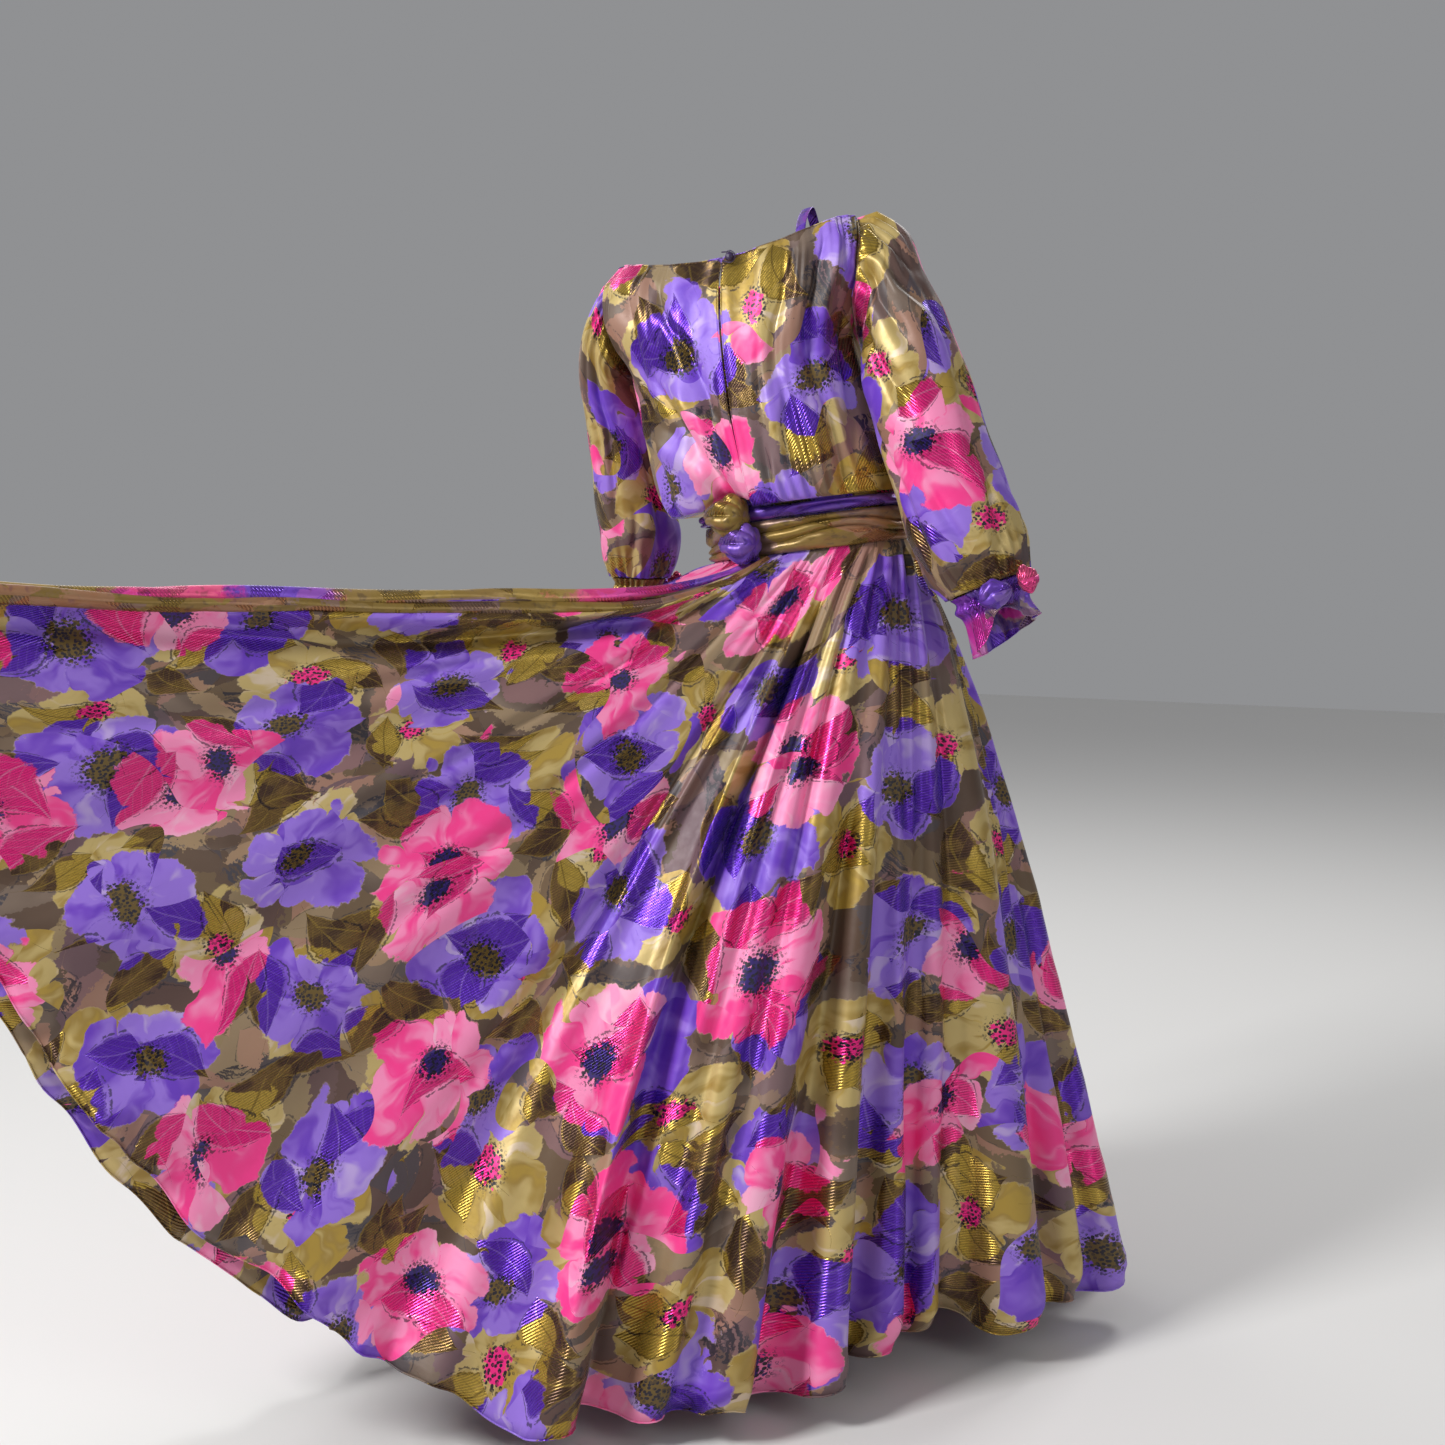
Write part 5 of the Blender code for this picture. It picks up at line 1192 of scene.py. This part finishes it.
def print_group():
    """The dress's print: painterly flowers on sheer taupe, over leaf shapes of ribbed metal thread."""
    tree = bpy.data.node_groups.new("flower_print", "ShaderNodeTree")
    for name, way, kind in (
        ("Cut", "INPUT", "Vector"), ("Colour", "OUTPUT", "Vector"), ("Metal", "OUTPUT", "Float"),
    ):
        tree.interface.new_socket(name, in_out=way, socket_type="NodeSocket" + kind)
    net = Net(tree)
    source = Flow(net, tree.nodes.new("NodeGroupInput").outputs["Cut"])
    bend = net.noise(source, 8.0, 0.0, output="Color") - (0.5, 0.5, 0.5)
    cut = source + bend * 0.045
    wobble = net.noise(source, 26.0)
    ragged = net.noise(source, 130.0, 2.0, 0.65)
    noises = (wobble, ragged)
    # Ground: sheer taupe with washes of paler petals that run into each other
    wide = net.noise(cut, 9.0, 2.0)
    smear = cut + bend * 0.10 + net.join(wobble * 0.034, ragged * 0.026)
    gx, gy, gz = net.split(net.cells(smear, 24.0, "Color"))
    ground = net.mix(net.ramp(wide, 0.40, 0.62), TAUPE, PALE_TAUPE)
    for value, low, high, share, wash in (
        (gx, 0.70, 0.78, 0.65, PEACH), (gy, 0.60, 0.70, 0.60, MAUVE),
        (gz, 0.66, 0.74, 0.75, DUSTY_GOLD), (gx, 0.32, 0.24, 0.70, BROWN),
    ):
        ground = net.mix(net.ramp(value, low, high) * share, ground, wash)
    shade, _, shade_pen = leaf(net, cut, noises, SHADE_LEAF)
    tint = net.mix(net.ramp(gz, 0.30, 0.38), SLATE, net.mix(net.ramp(gy, 0.45, 0.55), BROWN, PEACH))
    ground = net.mix(shade * 0.60, ground, tint)
    ground = net.mix(shade_pen * 0.65, ground, INK)
    # Dark brush marks with combed ends
    comb = net.noise(net.turned(smear, 0.5) * (210.0, 34.0, 0.0), 1.0)
    stroke, _, _ = leaf(net, cut, noises, STROKE)
    ink = stroke * net.ramp(comb, 0.42, 0.56) * 0.90
    ground = net.mix(ink, ground, net.mix(net.ramp(wide, 0.45, 0.55), INK, SLATE))
    # The flowers, each kind over the one before
    metal, in_bloom = 0.08, 0.0
    bloom = dict.fromkeys(("own", "where", "marks"), (0.0, 0.0, 0.0))
    bloom.update({tone: FLOWERS[0][tone] for tone in TONES})
    for spec in FLOWERS:
        shown, drawn = flower(net, cut, noises, spec)
        for key in bloom:
            bloom[key] = net.mix(shown, bloom[key], drawn[key] if key in drawn else spec[key])
        kept = 1.0 - shown
        metal = metal * kept + shown * spec["shine"]
        in_bloom = in_bloom * kept + shown
    own, _, _ = net.split(bloom["own"])
    line, heart, halo = net.split(bloom["marks"])
    tone = net.noise(bloom["where"], 1.5, 2.0) * 1.35 + (own - 0.5) * 0.62 + (wobble - 0.5) * 0.20
    petal = net.mix(net.ramp(tone, 0.62, 0.98), bloom["pale"], bloom["mid"])
    petal = net.mix(net.ramp(tone, 0.92, 1.10) * 0.55, petal, bloom["deep"])
    petal = net.mix(net.ramp(tone, 0.45, 0.20) * 0.35, petal, PETAL_LIGHT)
    petal = net.mix(line * 0.35, petal, bloom["deep"])
    soft = net.mix(in_bloom, ground, petal)
    # The woven leaves, with a painted highlight along their raised rims
    first, first_veins_and_rim_highlight, first_pen = leaf(net, cut, noises, LAME[0])
    second, second_veins_and_rim_highlight, second_pen = leaf(net, cut, noises, LAME[1])
    lame = net.most(first, second)
    lines = net.most(first_veins_and_rim_highlight, second_veins_and_rim_highlight * (1.0 - first))
    deep = net.mix(in_bloom, net.mix(net.ramp(wobble, 0.42, 0.56), BROWN, BRONZE), bloom["deep"])
    colour = net.mix(lame * 0.90, soft, deep)
    # The veins and ribs in the line colour, and the rim band in the same colour as a painted highlight of the
    # raised edge
    colour = net.mix(lines * 0.60, colour, net.mix(in_bloom, GOLD, bloom["line"]))
    colour = net.mix(net.most(first_pen, second_pen) * 0.75, colour, INK)
    # Hearts and stamens
    dots = net.cells(source, 230.0, "Distance") < 0.40
    colour = net.mix(in_bloom * heart, colour, bloom["centre"])
    colour = net.mix(in_bloom * net.most(heart * 0.55, halo) * dots, colour, INK)
    out = tree.nodes.new("NodeGroupOutput")
    net.put(out.inputs["Colour"], colour)
    net.put(out.inputs["Metal"], metal * (1.0 - lame) + lame * 0.95)
    return tree


def new_material(name):
    """A material with its tree's calls, its shader and the cloth's places on the cut."""
    made = bpy.data.materials.new(name)
    made.use_nodes = True
    net = Net(made.node_tree)
    return made, net, made.node_tree.nodes["Principled BSDF"].inputs, net.made("UVMap", (), uv_map="Cut")


def printed_chiffon(name, pattern, dyes=(), strength=0.0, fades=None):
    """The dress's one cloth. dyes draw its print towards the colours along a folded stretch."""
    made, net, shader, source = new_material(name)
    group = net.node("Group", node_tree=pattern)
    net.put(group.inputs["Cut"], source)
    colour, metal = (Flow(net, socket) for socket in group.outputs)
    cx, cy, _ = net.split(source)
    mottle = net.noise(source, 70.0, 2.0, 0.6)
    if dyes:
        dye = dyes[0][1]
        along = cx + 0.05 * (mottle - 0.5)
        for start, tone in dyes[1:]:
            dye = net.mix(net.ramp(along, start - DYE_BLUR, start + DYE_BLUR), dye, tone)
        share = net.ramp(cy, *fades, strength) if fades else strength
        dye = net.mix(net.ramp(mottle, 0.42, 0.28, 0.0, 0.40), dye, INK)
        colour = net.mix(share, colour, dye)
        metal = net.most(metal, FOLD_METAL)
    # Diagonal ribs where the metal thread floats, and a fine crinkle everywhere
    rib = net.math("FRACT", (cx + cy * 0.8) * RIBS_PER_METRE)
    rib = net.ramp(abs(rib - 0.5), 0.10, 0.45)
    ribbed = net.ramp(metal, 0.55, 0.85)
    net.put(shader["Base Color"], net.mix(rib * ribbed * 0.30, colour, INK))
    net.put(shader["Metallic"], metal * 0.75)
    net.put(shader["Roughness"], net.ramp(metal, 0.1, 0.85, 0.52, 0.27) + (mottle - 0.5) * 0.20)
    crinkle = net.relief(mottle, 0.20, 0.0013)
    weave = net.relief(rib, ribbed * 0.55, 0.0009, Normal=crinkle)
    weave.socket.node.invert = True
    net.put(shader["Normal"], weave)
    shader["Specular IOR Level"].default_value = 0.55
    shader["Sheen Weight"].default_value = 0.10
    shader["Sheen Roughness"].default_value = 0.35
    return made


def plain_finish(name, colour, roughness, scale):
    """A small piece's own finish: one dye with woven unevenness."""
    made, net, shader, source = new_material(name)
    grain = net.noise(source, scale, 2.0)
    light = tuple(1.7 * c + 0.02 for c in colour)
    net.put(shader["Base Color"], net.mix(net.ramp(grain, 0.3, 0.7), colour, light))
    net.put(shader["Roughness"], net.ramp(grain, 0.3, 0.7, roughness + 0.08, roughness - 0.08))
    net.put(shader["Normal"], net.relief(grain, 0.3, 0.0006))
    return made


# Lights, floor and camera


def studio():
    bpy.ops.mesh.primitive_plane_add(size=FLOOR_SIZE, location=(0.0, 0.0, CAD_BOX[0][2] - FLOOR_DROP))
    floor = bpy.context.object
    floor.name = "studio_floor"
    pale = bpy.data.materials.new("pale_floor")
    pale.use_nodes = True
    shader = pale.node_tree.nodes["Principled BSDF"].inputs
    shader["Base Color"].default_value = (0.80, 0.79, 0.77, 1.0)
    shader["Roughness"].default_value = 0.75
    floor.data.materials.append(pale)
    scene = bpy.context.scene
    scene.world = scene.world or bpy.data.worlds.new("world")
    scene.world.use_nodes = True
    sky = scene.world.node_tree.nodes["Background"].inputs
    sky["Color"].default_value = (0.93, 0.94, 0.97, 1.0)
    sky["Strength"].default_value = 0.30
    scene.view_settings.view_transform = "Standard"
    for name, place, width, power in LAMPS:
        data = bpy.data.lights.new(name, "AREA")
        data.energy = power
        data.size = width
        lamp = bpy.data.objects.new(name, data)
        lamp.location = place
        lamp.rotation_euler = (LAMP_AIM - Vector(place)).to_track_quat("-Z", "Y").to_euler()
        scene.collection.objects.link(lamp)


def photo_camera():
    azimuth = math.radians(PHOTO_AZIMUTH)
    pitch = math.radians(PHOTO_PITCH)
    data = bpy.data.cameras.new("photo_camera")
    data.sensor_fit = "HORIZONTAL"
    data.angle = 2.0 * math.atan(HALF_FRAME / FOCAL_PIXELS)
    data.clip_start = 0.05
    camera = bpy.data.objects.new("photo_camera", data)
    camera.location = CAMERA_PLACE
    back = Vector((math.sin(azimuth), -math.cos(azimuth), 0.0))
    look = -back * math.cos(pitch) - Vector((0.0, 0.0, math.sin(pitch)))
    camera.rotation_euler = look.to_track_quat("-Z", "Y").to_euler()
    bpy.context.scene.collection.objects.link(camera)
    bpy.context.scene.camera = camera


pattern = print_group()
chiffon = printed_chiffon("printed_chiffon", pattern)
violet_fold, gold_fold, pink_fold = (
    printed_chiffon("chiffon_" + name, pattern, ((0.0, dye),), strength)
    for name, dye, strength in (
        ("violet_fold", SASH_VIOLET, 0.84), ("gold_fold", SASH_GOLD, 0.88), ("pink_fold", HOT_PINK, 0.84),
    )
)
violet_cuff = printed_chiffon("chiffon_violet_cuff", pattern, ((0.0, SASH_VIOLET),), 0.88, CUFF_FADE)
rolled = printed_chiffon("chiffon_rolled", pattern, ROLL_DYES, 0.80)
plum = plain_finish("plum_thread", PLUM, 0.32, 1200.0)

bodice(chiffon)
skirt(chiffon, {"roll_upper": rolled, "roll_lower": gold_fold})
sash({
    "sash_upper": violet_fold, "sash_lower": gold_fold,
    "sash_knot_upper": gold_fold, "sash_knot_lower": violet_fold,
})
sleeve(-1, "right", SLEEVE_RIGHT, chiffon)
sleeve(1, "left", SLEEVE_LEFT, chiffon)
cuff(-1, "right", SLEEVE_RIGHT[-1], violet_cuff, (violet_fold, pink_fold))
cuff(1, "left", SLEEVE_LEFT[-1], gold_fold, (violet_fold, pink_fold))
neck_closure(plum)
inner_strap(violet_fold)
studio()
photo_camera()
